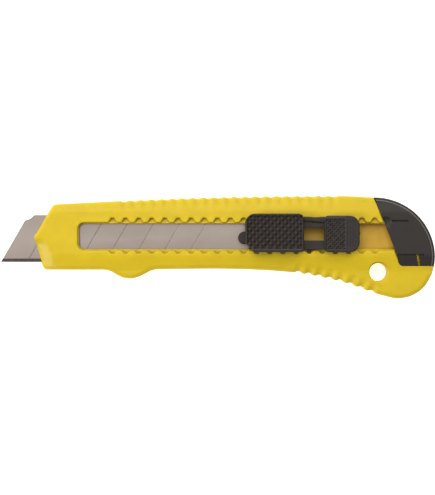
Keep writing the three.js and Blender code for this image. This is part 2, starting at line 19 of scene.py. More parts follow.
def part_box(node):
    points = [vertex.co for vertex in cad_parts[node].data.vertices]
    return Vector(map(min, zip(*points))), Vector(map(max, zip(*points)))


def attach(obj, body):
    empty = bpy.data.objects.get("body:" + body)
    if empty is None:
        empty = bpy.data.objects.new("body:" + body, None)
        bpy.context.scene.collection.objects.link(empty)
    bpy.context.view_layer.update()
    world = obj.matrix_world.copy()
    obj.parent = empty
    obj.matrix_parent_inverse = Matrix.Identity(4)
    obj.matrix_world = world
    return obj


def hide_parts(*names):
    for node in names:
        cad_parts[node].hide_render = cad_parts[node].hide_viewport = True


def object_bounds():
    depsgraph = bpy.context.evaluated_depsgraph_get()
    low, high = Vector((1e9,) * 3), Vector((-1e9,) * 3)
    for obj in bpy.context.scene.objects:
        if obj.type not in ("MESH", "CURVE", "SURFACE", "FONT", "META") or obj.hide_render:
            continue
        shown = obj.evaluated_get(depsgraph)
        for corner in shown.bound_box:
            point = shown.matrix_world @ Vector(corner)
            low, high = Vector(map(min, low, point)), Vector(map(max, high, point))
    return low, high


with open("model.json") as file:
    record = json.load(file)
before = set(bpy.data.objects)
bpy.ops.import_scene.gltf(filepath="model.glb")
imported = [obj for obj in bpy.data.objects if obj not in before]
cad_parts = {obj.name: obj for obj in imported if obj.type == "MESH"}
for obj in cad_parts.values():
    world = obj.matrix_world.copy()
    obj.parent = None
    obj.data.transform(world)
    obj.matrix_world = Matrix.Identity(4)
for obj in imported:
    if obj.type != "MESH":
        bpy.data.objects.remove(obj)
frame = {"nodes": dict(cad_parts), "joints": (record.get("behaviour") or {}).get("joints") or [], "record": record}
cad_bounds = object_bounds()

bl_info = {
    "name": "Snap-off Knife Looks",
    "version": (1, 0, 0),
    "blender": (4, 5, 0),
    "location": "View3D > Sidebar > Knife",
    "description": "Builds the visible pieces and finishes of a snap-off utility knife",
    "category": "Object",
}

MM = 0.001


# ------------------------------------------------------------------ places read from the frame


def corners_mm(node):
    """Lowest and highest corner of a CAD node, in millimetres."""
    low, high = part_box(node)
    return low / MM, high / MM


HANDLE_LOW, HANDLE_HIGH = corners_mm("handle_body")
BLADE_LOW, BLADE_HIGH = corners_mm("blade")
HOLDER_LOW, HOLDER_HIGH = corners_mm("blade_holder")
SLIDER_LOW, SLIDER_HIGH = corners_mm("thumb_slider")
ARM_LOW, ARM_HIGH = corners_mm("ratchet_spring_arm")
LEAF_LOW, LEAF_HIGH = corners_mm("ratchet_pawl_leaf")
CAP_LOW, CAP_HIGH = corners_mm("end_cap")

JOINTS = {joint["name"]: joint for joint in frame["joints"]}
TRAVEL_FORWARD = JOINTS["slider_slide"]["range_m"][1] / MM

HOLE_BOX = frame["record"]["physics"]["openings"][0]["box_m"]
HOLE_X = (HOLE_BOX[0][0] + HOLE_BOX[1][0]) / 2 / MM
HOLE_Y = (HOLE_BOX[0][1] + HOLE_BOX[1][1]) / 2 / MM

NOSE_X = HANDLE_LOW.x - 0.1
FACE_Z = HANDLE_HIGH.z
TOOTH_X = LEAF_LOW.x + 1.2  # middle of the notch that the teeth stand in
GAP = 0.3


# ------------------------------------------------------------------ sizes and colours to change


def length_mm(name, description, millimetres):
    """A length property with a default in millimetres."""
    return FloatProperty(name=name, description=description, default=millimetres * MM,
                         unit="LENGTH", precision=5)


class HandleSizes(bpy.types.PropertyGroup):
    """Sizes of the handle moulding that the CAD boxes don't hold."""

    edge_round: length_mm("Edge round", "Radius along the outer edges of the moulding", 1.6)
    crown_drop: length_mm("Crown drop", "How far the face slopes away towards its two long edges", 1.4)
    groove_depth: length_mm("Groove depth", "Depth of the finger grooves at the edge", 0.85)
    groove_pitch: length_mm("Groove pitch", "Spacing of the finger grooves", 4.0)
    notch_pitch: length_mm("Notch pitch", "Spacing of the ratchet notches along the slot", 5.0)
    hole_radius: length_mm("Lanyard hole radius", "Radius of the through hole in the tail", 3.45)


class BladeSizes(bpy.types.PropertyGroup):
    """Sizes of the blade strip."""

    angle: FloatProperty(
        name="Score angle", description="Angle between the score lines and the cutting edge",
        default=math.radians(60), subtype="ANGLE",
    )
    score_pitch: length_mm("Score pitch", "Length of one segment along the edge", 10)
    score_count: IntProperty(name="Score lines", description="Number of score lines", default=7)
    score_depth: length_mm("Score depth", "Depth of a score line", 0.034)
    grind_width: length_mm("Grind width", "Width of the ground bevel at the edge", 1.3)


class SliderSizes(bpy.types.PropertyGroup):
    """Sizes of the slider's grip patterns."""

    knurl_period: length_mm("Knurl period", "Spacing of the diamonds along the knife", 2.7)
    knurl_depth: length_mm("Knurl depth", "Depth of the knurl's grooves", 0.8)
    fine_period: length_mm("Fine knurl period", "Spacing of the small diamonds on the rear pad", 1.6)


class Finishes(bpy.types.PropertyGroup):
    """Colours of the mouldings and the steel, as sRGB hex, with the shade and highlight colours painted on them.
    """

    handle_colour: StringProperty(
        name="Handle colour", description="Body colour of the yellow moulding", default="D8BA20",
    )
    # painted highlight: paler yellow for the upper part of the nose's chin facet
    chin_highlight_colour: StringProperty(
        name="Chin highlight colour", description="Paler yellow painted on the nose's chin facet as its highlight",
        default="D8BC3C",
    )
    # painted shade: darker yellow for the blade channel's floor and walls
    channel_shade_colour: StringProperty(
        name="Channel shade colour", description="Darker yellow painted on the blade channel as its shade",
        default="D5A831",
    )
    # painted shade: the brown laid into the handle's tight corners
    corner_shade_colour: StringProperty(
        name="Corner shade colour", description="Brown shade painted into the handle's tight corners", default="5C4212",
    )
    # painted highlight: pale grey for the step round the cap's rim
    rim_highlight_colour: StringProperty(
        name="Cap rim highlight colour", description="Pale grey painted on the step round the cap as its highlight",
        default="6F6963",
    )
    black_colour: StringProperty(
        name="Black colour", description="Body colour of the black mouldings", default="2D2824",
    )
    steel_colour: StringProperty(
        name="Steel colour", description="Colour of the ground steel", default="9E928A",
    )
    floor_colour: StringProperty(
        name="Floor colour", description="Colour of the studio floor", default="FBFAF8",
    )


# ------------------------------------------------------------------ outlines


def turn(points, angle):
    """Points turned about the origin, anticlockwise."""
    c, s = math.cos(angle), math.sin(angle)
    return np.asarray(points) @ np.array([[c, s], [-s, c]])


def arc(x, y, radius, start, end, step=2.5):
    """Points along a circle between two angles in degrees, about one every step degrees."""
    count = max(2, round(abs(end - start) / step) + 1)
    angles = np.radians(np.linspace(start, end, count))
    return np.column_stack([x + radius * np.cos(angles), y + radius * np.sin(angles)])


def rounded(before, corner, after, radius, count=8):
    """A corner between two straight runs, rounded to a radius."""
    corner = np.asarray(corner, float)
    if radius == 0:
        return corner[None]
    back = (before - corner) / np.linalg.norm(before - corner)
    ahead = (after - corner) / np.linalg.norm(after - corner)
    half = math.acos(np.clip(back @ ahead, -1, 1)) / 2
    inward = (back + ahead) / np.linalg.norm(back + ahead)
    centre = corner + inward * radius / math.sin(half)
    start = corner + back * radius / math.tan(half) - centre
    end = corner + ahead * radius / math.tan(half) - centre
    sweep = math.atan2(start[0] * end[1] - start[1] * end[0], start @ end)
    return np.array([turn(start, sweep * i / count) + centre for i in range(count + 1)])


def outline(corners, count=8):
    """A closed outline from corners given as (x, y, radius)."""
    points = np.array([corner[:2] for corner in corners], float)
    total = len(points)
    return np.vstack([
        rounded(points[i - 1], points[i], points[(i + 1) % total], corner[2], count)
        for i, corner in enumerate(corners)
    ])


def plate(low_x, high_x, low_y, high_y, radius=0.0, count=6):
    """A rectangle with its corners rounded alike."""
    return outline([
        (low_x, low_y, radius), (high_x, low_y, radius),
        (high_x, high_y, radius), (low_x, high_y, radius),
    ], count)


def curve_through(points, spacing=0.5):
    """A smooth curve through a few points, as points spacing apart."""
    points = np.asarray(points, float)
    padded = np.vstack([2 * points[0] - points[1], points, 2 * points[-1] - points[-2]])
    rows = []
    for a, b, c, d in zip(padded, padded[1:], padded[2:], padded[3:]):
        count = max(2, int(np.linalg.norm(c - b) / spacing))
        t = np.linspace(0, 1, count, endpoint=False)[:, None]
        rows.append(0.5 * (2 * b + (c - a) * t + (2 * a - 5 * b + 4 * c - d) * t ** 2
                           + (3 * b - a - 3 * c + d) * t ** 3))
    rows.append(points[-1:])
    return np.vstack(rows)


def densify(loop, spacing):
    """A closed loop with every edge split until none is longer than spacing."""
    rows = []
    for a, b in zip(loop, np.roll(loop, -1, axis=0)):
        length = np.linalg.norm(b - a)
        if length < 1e-6:
            continue
        count = max(1, math.ceil(length / spacing))
        rows.append(a + (b - a) * (np.arange(count) / count)[:, None])
    return np.vstack(rows)


def outward(loop):
    """Offset directions of an anticlockwise loop, longer at its corners."""
    ahead = np.roll(loop, -1, axis=0) - loop
    ahead /= np.linalg.norm(ahead, axis=1)[:, None]
    normal = np.column_stack([ahead[:, 1], -ahead[:, 0]])
    before = np.roll(normal, 1, axis=0)
    both = normal + before
    both /= np.linalg.norm(both, axis=1)[:, None]
    cosine = np.clip((both * normal).sum(1), 0.5, 1)
    return both / cosine[:, None]


def inside(points, loop):
    """Which points lie inside a closed loop."""
    x, y = points[:, 0], points[:, 1]
    found = np.zeros(len(points), bool)
    for (ax, ay), (bx, by) in zip(loop, np.roll(loop, -1, axis=0)):
        if ay != by:
            crosses = (ay > y) != (by > y)
            found ^= crosses & (x < (bx - ax) * (y - ay) / (by - ay) + ax)
    return found


def nearest(points, loop):
    """Index of the nearest loop point to each point, and how far it is."""
    index = np.empty(len(points), int)
    distance = np.empty(len(points))
    for start in range(0, len(points), 2000):
        part = points[start:start + 2000]
        squared = ((part[:, None] - loop[None]) ** 2).sum(2)
        index[start:start + 2000] = squared.argmin(1)
        distance[start:start + 2000] = np.sqrt(squared.min(1))
    return index, distance


def grid(low, high, spacing, angle=0.0):
    """Points of a square grid over a box, turned by an angle about the box's middle."""
    middle = (np.asarray(low) + np.asarray(high)) / 2
    reach = np.linalg.norm(np.asarray(high) - np.asarray(low)) / 2
    steps = np.arange(-math.ceil(reach / spacing), math.ceil(reach / spacing) + 1) * spacing
    x, y = np.meshgrid(steps, steps)
    points = turn(np.column_stack([x.ravel(), y.ravel()]), angle) + middle
    within = ((points >= low) & (points <= high)).all(1)
    return points[within]


# ------------------------------------------------------------------ meshes


def level(height):
    """A height that is the same all over."""
    return lambda points: np.full(len(points), float(height))


def shoulder(radius, count=5):
    """(inset, drop) pairs down a quarter-round edge, from the face to the wall."""
    angles = np.linspace(math.pi / 2, 0, count)
    return [(radius * (1 - math.cos(a)), radius * (1 - math.sin(a))) for a in angles]


def mesh_object(name, points, faces):
    """A new mesh object from points in millimetres."""
    mesh = bpy.data.meshes.new(name)
    mesh.from_pydata((np.asarray(points) * MM).tolist(), [], faces)
    mesh.validate()
    piece = bpy.data.objects.new(name, mesh)
    bpy.context.scene.collection.objects.link(piece)
    return piece


def bands(rings, count):
    """Faces between rings of count points each, laid one after another."""
    faces = []
    for r in range(rings - 1):
        for i in range(count):
            j = (i + 1) % count
            faces.append([r * count + i, r * count + j, (r + 1) * count + j, (r + 1) * count + i])
    return faces


def enclosed(faces, borders):
    """Numbers of the triangles on the left of a closed run of border edges."""
    owner = {}
    for number, face in enumerate(faces):
        for i in range(3):
            owner[face[i - 1], face[i]] = number
    kept = {owner[border] for border in borders if border in owner}
    waiting = list(kept)
    borders = set(borders)
    while waiting:
        face = faces[waiting.pop()]
        for i in range(3):
            edge = face[i - 1], face[i]
            beyond = owner.get(edge[::-1])
            if edge not in borders and beyond is not None and beyond not in kept:
                kept.add(beyond)
                waiting.append(beyond)
    return sorted(kept)


def lid(ring, extra, creases, first, offset):
    """Triangles that fill a ring, with extra points and crease lines inside it.

    ring starts at vertex first of the mesh, and new points are numbered from offset.
    """
    count = len(ring)
    edges = [(i, (i + 1) % count) for i in range(count)]
    total = count + len(extra)
    for crease in creases:
        edges += [(total + i, total + i + 1) for i in range(len(crease) - 1)]
        total += len(crease)
    cloud = [Vector(p) for p in np.vstack([ring, extra, *creases])]
    places, _, faces, sources = delaunay_2d_cdt(cloud, edges, [], 0, 1e-5, True)[:4]
    numbers, added, found = [], [], {}
    for number, (place, origins) in enumerate(zip(places, sources)):
        on_ring = [origin for origin in origins if origin < count]
        found.update((origin, number) for origin in on_ring)
        if on_ring:
            numbers.append(first + on_ring[0])
        else:
            numbers.append(offset + len(added))
            added.append(place)
    borders = [(found[a], found[b]) for a, b in edges[:count]]
    triangles = [[numbers[i] for i in faces[number]] for number in enclosed(faces, borders)]
    return np.array(added).reshape(-1, 2), triangles


def easy_round(loop, radius):
    """A rounding radius for each loop point that its convex corners leave room for."""
    ahead = np.roll(loop, -1, axis=0) - loop
    length = np.linalg.norm(ahead, axis=1)
    heading = np.arctan2(ahead[:, 1], ahead[:, 0])
    bend = (heading - np.roll(heading, 1) + math.pi) % (2 * math.pi) - math.pi
    span = (length + np.roll(length, 1)) / 2
    room = np.where(bend > 1e-3, 0.85 * span / np.maximum(bend, 1e-3), radius)
    allowed = np.minimum(radius, room)
    for _ in range(12):  # the radius may only change slowly along the edge
        allowed = np.minimum(allowed, np.roll(allowed, 1) + 0.22 * np.roll(length, 1))
        allowed = np.minimum(allowed, np.roll(allowed, -1) + 0.22 * length)
    return allowed


def slab(name, loop, bottom, top, low_round, high_round, extra=None, creases=(), ripple=None):
    """A closed solid between two height fields, with rounded edges.

    low_round and high_round are one radius, or one for each loop point. extra are the points at
    which the faces are worked out inside the loop, and creases are lines kept as edges of both
    faces. ripple sets the wall in by that much at each loop point, and dies away over the rounding.
    """
    out = outward(loop)
    extra = np.empty((0, 2)) if extra is None else extra
    ripple = np.zeros(len(loop)) if ripple is None else ripple
    low_round = easy_round(loop, np.broadcast_to(low_round, len(loop)))
    high_round = easy_round(loop, np.broadcast_to(high_round, len(loop)))
    rings = []
    for inset, drop in shoulder(1.0):
        place = loop - out * (low_round * inset + ripple * (1 - inset))[:, None]
        rings.append((place, bottom(place) + low_round * drop))
    for inset, drop in reversed(shoulder(1.0)):
        place = loop - out * (high_round * inset + ripple * (1 - inset))[:, None]
        rings.append((place, top(place) - high_round * drop))
    points = [np.column_stack([place, height]) for place, height in rings]
    count = len(loop)
    faces = bands(len(rings), count)
    total = len(rings) * count
    for ring_number, field, flip in ((0, bottom, True), (len(rings) - 1, top, False)):
        ring = rings[ring_number][0]
        added, triangles = lid(ring, extra, creases, ring_number * count, total)
        if len(added):
            points.append(np.column_stack([added, field(added)]))
        total += len(added)
        faces += [face[::-1] if flip else face for face in triangles]
    return mesh_object(name, np.vstack(points), faces)


def cutter(loop, low, high, flares=()):
    """A prism for cutting, which leaves a rounded edge where it is flared.

    Each flare is (height, radius, side): the cut widens there, and stays wide above the height for
    side 1 and below it for side -1.
    """
    out = outward(loop)
    levels = []
    widest = {1: 0.0, -1: 0.0}
    for height, radius, side in flares:
        widest[side] = radius
        for i in range(5):
            a = i / 4 * math.pi / 2
            levels.append((height - side * radius * (1 - math.sin(a)), radius * (1 - math.cos(a))))
    levels = [(z, w) for z, w in levels if z not in (low, high)]
    levels += [(low, widest[-1]), (high, widest[1])]
    levels.sort()
    count = len(loop)
    points = np.vstack([np.column_stack([loop + out * w, np.full(count, z)]) for z, w in levels])
    faces = bands(len(levels), count)
    faces.append(list(range(count))[::-1])
    faces.append([(len(levels) - 1) * count + i for i in range(count)])
    return mesh_object("cutter", points, faces)


def carve(piece, *tools, operation="DIFFERENCE"):
    """Cuts the tools out of a piece, or keeps what they share, and removes them."""
    for tool in tools:
        step = piece.modifiers.new("carve", "BOOLEAN")
        step.operation = operation
        step.solver = "EXACT"
        step.object = tool
        graph = bpy.context.evaluated_depsgraph_get()
        carved = bpy.data.meshes.new_from_object(piece.evaluated_get(graph))
        piece.modifiers.clear()
        old = piece.data
        piece.data = carved
        bpy.data.meshes.remove(old)
        tool_mesh = tool.data
        bpy.data.objects.remove(tool)
        bpy.data.meshes.remove(tool_mesh)
    if not piece.data.polygons:
        raise RuntimeError(f"nothing is left of {piece.name}")
    return piece


def finish_mesh(piece, name, sharp_degrees=28):
    """Welds a piece's vertices, turns its faces out and smooths all but its sharp edges."""
    work = bmesh.new()
    work.from_mesh(piece.data)
    bmesh.ops.remove_doubles(work, verts=work.verts, dist=0.002 * MM)
    bmesh.ops.dissolve_degenerate(work, edges=work.edges, dist=0.002 * MM)
    bmesh.ops.recalc_face_normals(work, faces=work.faces)
    for face in work.faces:
        face.smooth = True
    for edge in work.edges:
        if len(edge.link_faces) == 2:
            edge.smooth = edge.calc_face_angle(0) < math.radians(sharp_degrees)
    work.to_mesh(piece.data)
    work.free()
    piece.name = name
    piece.data.name = name
    weigh = piece.modifiers.new("weigh", "WEIGHTED_NORMAL")
    weigh.keep_sharp = True
    return piece


# ------------------------------------------------------------------ materials


def linear(hex_colour):
    """An sRGB hex colour as linear RGBA."""
    values = [int(hex_colour[i:i + 2], 16) / 255 for i in (0, 2, 4)]
    return [v / 12.92 if v <= 0.04045 else ((v + 0.055) / 1.055) ** 2.4 for v in values] + [1.0]


def shade(hex_colour, factor):
    """A hex colour as linear RGBA, made lighter or darker by a factor."""
    red, green, blue, alpha = linear(hex_colour)
    return [min(1.0, red * factor), min(1.0, green * factor), min(1.0, blue * factor), alpha]


def add_node(tree, kind, settings=(), links=()):
    """Adds a node. settings are attribute names or input keys with values; links are input keys with
    the output sockets that feed them."""
    node = tree.nodes.new(kind)
    for key, value in dict(settings).items():
        if isinstance(key, str) and hasattr(node, key):
            setattr(node, key, value)
        else:
            node.inputs[key].default_value = value
    for key, socket in dict(links).items():
        tree.links.new(socket, node.inputs[key])
    return node


def ramp(tree, factor, stops):
    """A colour ramp over a factor, with stops as (position, linear colour)."""
    node = add_node(tree, "ShaderNodeValToRGB", links={0: factor})
    elements = node.color_ramp.elements
    while len(elements) < len(stops):
        elements.new(0.5)
    for element, (position, colour) in zip(elements, stops):
        element.position = position
        element.color = colour
    return node.outputs["Color"]


def noise(tree, place, size_mm, detail, roughness=0.5):
    """Noise read at a place, with clouds about size_mm across."""
    node = add_node(tree, "ShaderNodeTexNoise", {"Scale": 1 / (size_mm * MM), "Detail": detail,
                                                 "Roughness": roughness}, {"Vector": place})
    return node.outputs["Fac"]


def remap(tree, value, start, end, low, high):
    """A value that runs from low to high while the one it follows runs from start to end."""
    node = add_node(tree, "ShaderNodeMapRange", {"From Min": start, "From Max": end, "To Min": low,
                                                 "To Max": high}, {"Value": value})
    return node.outputs[0]


def stretched(tree, place, scale, rotation=0.0):
    """A place squeezed along each axis by a scale, so that what is read there looks stretched."""
    node = add_node(tree, "ShaderNodeMapping", {"Scale": scale, "Rotation": (0, 0, rotation)},
                    {"Vector": place})
    return node.outputs[0]


def overlaid(tree, factor, base, colour):
    """A base colour with a fixed colour laid over it by a factor."""
    node = add_node(tree, "ShaderNodeMix", {"data_type": "RGBA"}, {0: factor, 6: base})
    node.inputs[7].default_value = colour
    return node.outputs[2]


def roughen(tree, surface, height, strength, depth_mm):
    """Gives a shader a fine relief that follows a height."""
    bump = add_node(tree, "ShaderNodeBump", {"Strength": strength, "Distance": depth_mm * MM},
                    {"Height": height})
    tree.links.new(bump.outputs[0], surface.inputs["Normal"])


def new_material(name):
    """A material with a bare shader: itself, its tree, its shader and its object coordinates."""
    material = bpy.data.materials.new(name)
    material.use_nodes = True
    tree = material.node_tree
    tree.nodes.clear()
    surface = add_node(tree, "ShaderNodeBsdfPrincipled")
    add_node(tree, "ShaderNodeOutputMaterial", links={"Surface": surface.outputs["BSDF"]})
    place = add_node(tree, "ShaderNodeTexCoord").outputs["Object"]
    return material, tree, surface, place


def moulded_plastic(name, colour, roughness, grain_mm, mottle, wear_and_sheen, specular, scatter, corner_shade_strength=0.0):
    """An opaque injection-moulded plastic with a fine spark-eroded grain.

    Gives the eye a soft, broad highlight, a faint cloudiness in the pigment, paler edges that are partly
    rubbed and partly painted highlight, short handling scuffs that only show as a change of gloss, and painted
    brown shade in tight corners.
    """
    material, tree, surface, place = new_material(name)
    # pigment clouds a few millimetres across
    clouds = noise(tree, place, 7, 3.0, 0.55)
    base = ramp(tree, clouds, [(0.3, shade(colour, 1 - mottle)), (0.7, shade(colour, 1 + mottle))])
    # edges and knurl tips painted paler, partly rubbed and partly painted highlight: pointiness picks out convex
    # edges
    pointy = add_node(tree, "ShaderNodeNewGeometry").outputs["Pointiness"]
    edge = remap(tree, pointy, 0.52, 0.62, 0.0, min(wear_and_sheen, 1.0))
    body = overlaid(tree, edge, base, shade(colour, 1.0 + wear_and_sheen))
    if corner_shade_strength:
        # painted shade: corners narrower than about two millimetres, found by local ambient occlusion, turn brown
        corner = add_node(tree, "ShaderNodeAmbientOcclusion", {"samples": 8, "only_local": True,
                                                               "Distance": 1.6 * MM})
        painted_corner_shade = remap(tree, corner.outputs["AO"], 0.35, 0.85, corner_shade_strength, 0.0)
        body = overlaid(tree, painted_corner_shade, body, linear(bpy.context.scene.knife_finishes.corner_shade_colour))
    tree.links.new(body, surface.inputs["Base Color"])
    # grain of the mould's surface, drawn coarser than the real twentieth of a millimetre to show
    grain = noise(tree, place, grain_mm, 2.0)
    roughen(tree, surface, grain, 0.25, 0.03)
    # fine scuffs, stretched along the knife because hands and pockets rub it that way
    scuffs = noise(tree, stretched(tree, place, (0.12, 1.0, 1.0), 0.2), 0.9, 4.0, 0.7)
    gloss = remap(tree, scuffs, 0.35, 0.75, roughness - 0.05, roughness + 0.12)
    tree.links.new(gloss, surface.inputs["Roughness"])
    surface.inputs["IOR"].default_value = 1.49
    surface.inputs["Specular IOR Level"].default_value = specular
    if scatter:
        surface.inputs["Subsurface Weight"].default_value = scatter
        surface.inputs["Subsurface Radius"].default_value = (1.0, 0.7, 0.2)
        surface.inputs["Subsurface Scale"].default_value = 0.8 * MM
    return material


def ground_steel(name, colour, roughness):
    """Hardened carbon steel strip, ground along its length and lightly oiled.

    Gives the eye an even warm grey with fine lengthwise lines, slight clouding from the oil film and
    no mirror image.
    """
    material, tree, surface, place = new_material(name)
    # grinding lines, drawn 0.3 mm apart because real ones are too fine to show, and 40 times as long
    lines = noise(tree, stretched(tree, place, (0.025, 1.0, 1.0)), 0.3, 3.0, 0.6)
    film = noise(tree, place, 9, 2.0)
    both = add_node(tree, "ShaderNodeMath", {"operation": "MULTIPLY_ADD", 1: 0.35},
                    {0: lines, 2: film})
    base = ramp(tree, both.outputs[0], [
        (0.45, shade(colour, 0.96)), (0.65, shade(colour, 1.0)), (0.9, shade(colour, 1.04)),
    ])
    tree.links.new(base, surface.inputs["Base Color"])
    gloss = remap(tree, film, 0.3, 0.7, roughness - 0.03, roughness + 0.03)
    tree.links.new(gloss, surface.inputs["Roughness"])
    roughen(tree, surface, lines, 0.3, 0.004)
    surface.inputs["Metallic"].default_value = 1.0
    surface.inputs["Anisotropic"].default_value = 0.4
    return material


def honed_and_painted_dark_steel(name, colour, low, high):
    """The same strip where it is cut again: the cutting edge's bevel and the pressed score lines.

    Gives the eye fine cross lines and a darker grey, between the shares low and high of the strip's; the darker
    grey is painted, a darker reflection on the bevel and shade in the score lines.
    """
    material, tree, surface, place = new_material(name)
    # cross-ground lines, drawn 0.2 mm apart because real ones are too fine to show
    lines = noise(tree, stretched(tree, place, (1.0, 0.05, 1.0)), 0.2, 2.0)
    base = ramp(tree, lines, [(0.3, shade(colour, low)), (0.7, shade(colour, high))])
    tree.links.new(base, surface.inputs["Base Color"])
    gloss = remap(tree, lines, 0.0, 1.0, 0.22, 0.36)
    tree.links.new(gloss, surface.inputs["Roughness"])
    surface.inputs["Metallic"].default_value = 1.0
    return material


def opal_sheet(name, colour, glow):
    """Opal acrylic sheet lit from below: even and pale, and it thins the shadows that fall on it."""
    material, tree, surface, place = new_material(name)
    cloud = noise(tree, place, 60, 1.0)
    base = ramp(tree, cloud, [(0.3, shade(colour, 0.995)), (0.7, shade(colour, 1.0))])
    tree.links.new(base, surface.inputs["Base Color"])
    surface.inputs["Roughness"].default_value = 0.9
    surface.inputs["Specular IOR Level"].default_value = 0.2
    surface.inputs["Emission Color"].default_value = linear(colour)
    surface.inputs["Emission Strength"].default_value = glow
    return material


def finishes():
    """The materials of the whole knife, made once."""
    made = bpy.data.materials
    looks = bpy.context.scene.knife_finishes
    if "moulded_yellow_polypropylene" not in made:
        # the body yellow carries painted brown shade in its tight corners
        moulded_plastic("moulded_yellow_polypropylene", looks.handle_colour, roughness=0.4,
                        grain_mm=0.22, mottle=0.04, wear_and_sheen=0.25, specular=0.22, scatter=0.1, corner_shade_strength=0.45)
        # painted highlight: a paler copy of the yellow for the chin facet
        moulded_plastic("chin_highlight_yellow_polypropylene", looks.chin_highlight_colour, roughness=0.46,
                        grain_mm=0.22, mottle=0.06, wear_and_sheen=0.1, specular=0.3, scatter=0.1)
        # painted shade: the blade channel's floor and walls, darker and more orange
        moulded_plastic("channel_shade_yellow_polypropylene", looks.channel_shade_colour, roughness=0.45,
                        grain_mm=0.22, mottle=0.06, wear_and_sheen=0.0, specular=0.35, scatter=0.0)
        moulded_plastic("moulded_black_abs", looks.black_colour, roughness=0.48,
                        grain_mm=0.18, mottle=0.06, wear_and_sheen=0.0, specular=0.34, scatter=0.0)
        # knurl tips painted paler: partly thumb polish, partly painted highlight
        moulded_plastic("worn_and_highlit_black_abs", looks.black_colour, roughness=0.46,
                        grain_mm=0.18, mottle=0.05, wear_and_sheen=0.8, specular=0.35, scatter=0.0)
        # painted highlight: the cap's rim step, in pale grey
        moulded_plastic("rim_highlight_black_abs", looks.rim_highlight_colour, roughness=0.38,
                        grain_mm=0.18, mottle=0.1, wear_and_sheen=0.0, specular=0.4, scatter=0.0)
        ground_steel("ground_carbon_steel", looks.steel_colour, roughness=0.31)
        # painted reflection: the bevel's darker grey; its cross lines are the honing's own
        honed_and_painted_dark_steel("honed_bevel_dark_reflection_steel", looks.steel_colour, low=0.5, high=0.68)
        # painted shade: the score lines, in darker steel
        honed_and_painted_dark_steel("score_line_shade_steel", looks.steel_colour, low=0.62, high=0.8)
        opal_sheet("lit_opal_acrylic", looks.floor_colour, glow=0.7)
    return made


def dress(piece, *names):
    """Gives a piece its materials, in slot order."""
    made = finishes()
    piece.data.materials.clear()
    for name in names:
        piece.data.materials.append(made[name])


# ------------------------------------------------------------------ handle

CREASE_HIGH_Y = 13.45
CREASE_LOW_Y = -3.2
SPINE_SLOPE_Y = 20.0
BELLY_SLOPE_Y = -9.0
CAP_RADIUS = 23.0
CAP_CENTRE_X = CAP_HIGH.x - CAP_RADIUS
CAP_CENTRE_Y = CAP_HIGH.y - CAP_RADIUS
CHIN_TOP_Y = 2.4
CHIN_START = (NOSE_X + 4.7, CHIN_TOP_Y)
CHIN_END = (NOSE_X + 8.5, -7.3)
BROW_START = (NOSE_X + 7.9, 15.9)
BROW_END = (NOSE_X + 0.8, 3.15)
BROW_RADIUS = 2.6
CAP_FOOT_RUN = 10.1  # how far the cap's slanted front edge leans from the spine to its foot
SWELL_RADIUS = 13.35
SWELL_X = 69.2
SWELL_Y = HANDLE_LOW.y + SWELL_RADIUS
SPINE_GROOVES = {"first": -35.5, "last": 44.5, "share": 0.62}  # share is of the full groove depth
BELLY_GROOVES = {"first": 31.0, "last": 59.0, "share": 1.1}


def crown_fall(y):
    """How far the crowned face has fallen at a given Y, as a share of the whole drop."""
    up = np.clip((y - CREASE_HIGH_Y) / (SPINE_SLOPE_Y - CREASE_HIGH_Y), 0, 1)
    down = np.clip((CREASE_LOW_Y - y) / (CREASE_LOW_Y - BELLY_SLOPE_Y), 0, 1)
    return up + down


def crowned(inset, drop):
    """Height fields of a pair of crowned faces, inset from the handle's own."""
    return (
        lambda points: inset + crown_fall(points[:, 1]) * drop,
        lambda points: FACE_Z - inset - crown_fall(points[:, 1]) * drop,
    )


def cap_disc(inset, spacing):
    """The cap's round planform, inset, and points spread over it."""
    ring = arc(CAP_CENTRE_X, CAP_CENTRE_Y, CAP_RADIUS - inset, 0, 360, 3)[:-1]
    spread = grid(ring.min(0), ring.max(0), spacing)
    return ring, spread[inside(spread, ring * 0.98 + ring.mean(0) * 0.02)]


def spine_edge():
    """The handle's upper edge, from the cap to the nose."""
    return curve_through([(CAP_CENTRE_X, CAP_HIGH.y), (46, HANDLE_HIGH.y), (12.4, 19.4),
                          (-20, 18.5), (-60.4, 16.5)])


def belly_edge():
    """The handle's lower edge, from the bump to the swell of the tail."""
    return curve_through([(0, -8.3), (15, -8.7), (31, -10), (47, -13.2), (59, -17.3), (66, -19.26)])


def handle_outline():
    """Planform of the handle with the cap's part still on it."""
    vertex = np.array([NOSE_X, 3.6])
    chin = np.array([NOSE_X + 3.34, -8.7])
    bump_start = np.array([-41.8, -8.7])
    bump_tip = np.array([-33.8, -13.4])
    bump_end = np.array([-24.6, -8.5])
    brow = np.array([NOSE_X + 7.1, 16.36])
    spine, belly = spine_edge(), belly_edge()
    meet_y = SWELL_Y - 1.4
    swell_end = math.degrees(math.asin((meet_y - SWELL_Y) / SWELL_RADIUS))
    cap_start = math.degrees(math.asin((meet_y - CAP_CENTRE_Y) / CAP_RADIUS))
    return densify(np.vstack([
        rounded(brow, vertex, chin, 0.6, 4),
        rounded(vertex, chin, bump_start, 2.0),
        rounded(chin, bump_start, bump_tip, 8.0),
        rounded(bump_start, bump_tip, bump_end, 9.2, 14),
        rounded(bump_tip, bump_end, belly[0], 9.0),
        belly,
        arc(SWELL_X, SWELL_Y, SWELL_RADIUS, -104, swell_end)[1:],
        arc(CAP_CENTRE_X, CAP_CENTRE_Y, CAP_RADIUS, cap_start, 90),
        spine[1:],
        rounded(spine[-1], brow, vertex, BROW_RADIUS),
    ]), 0.4)


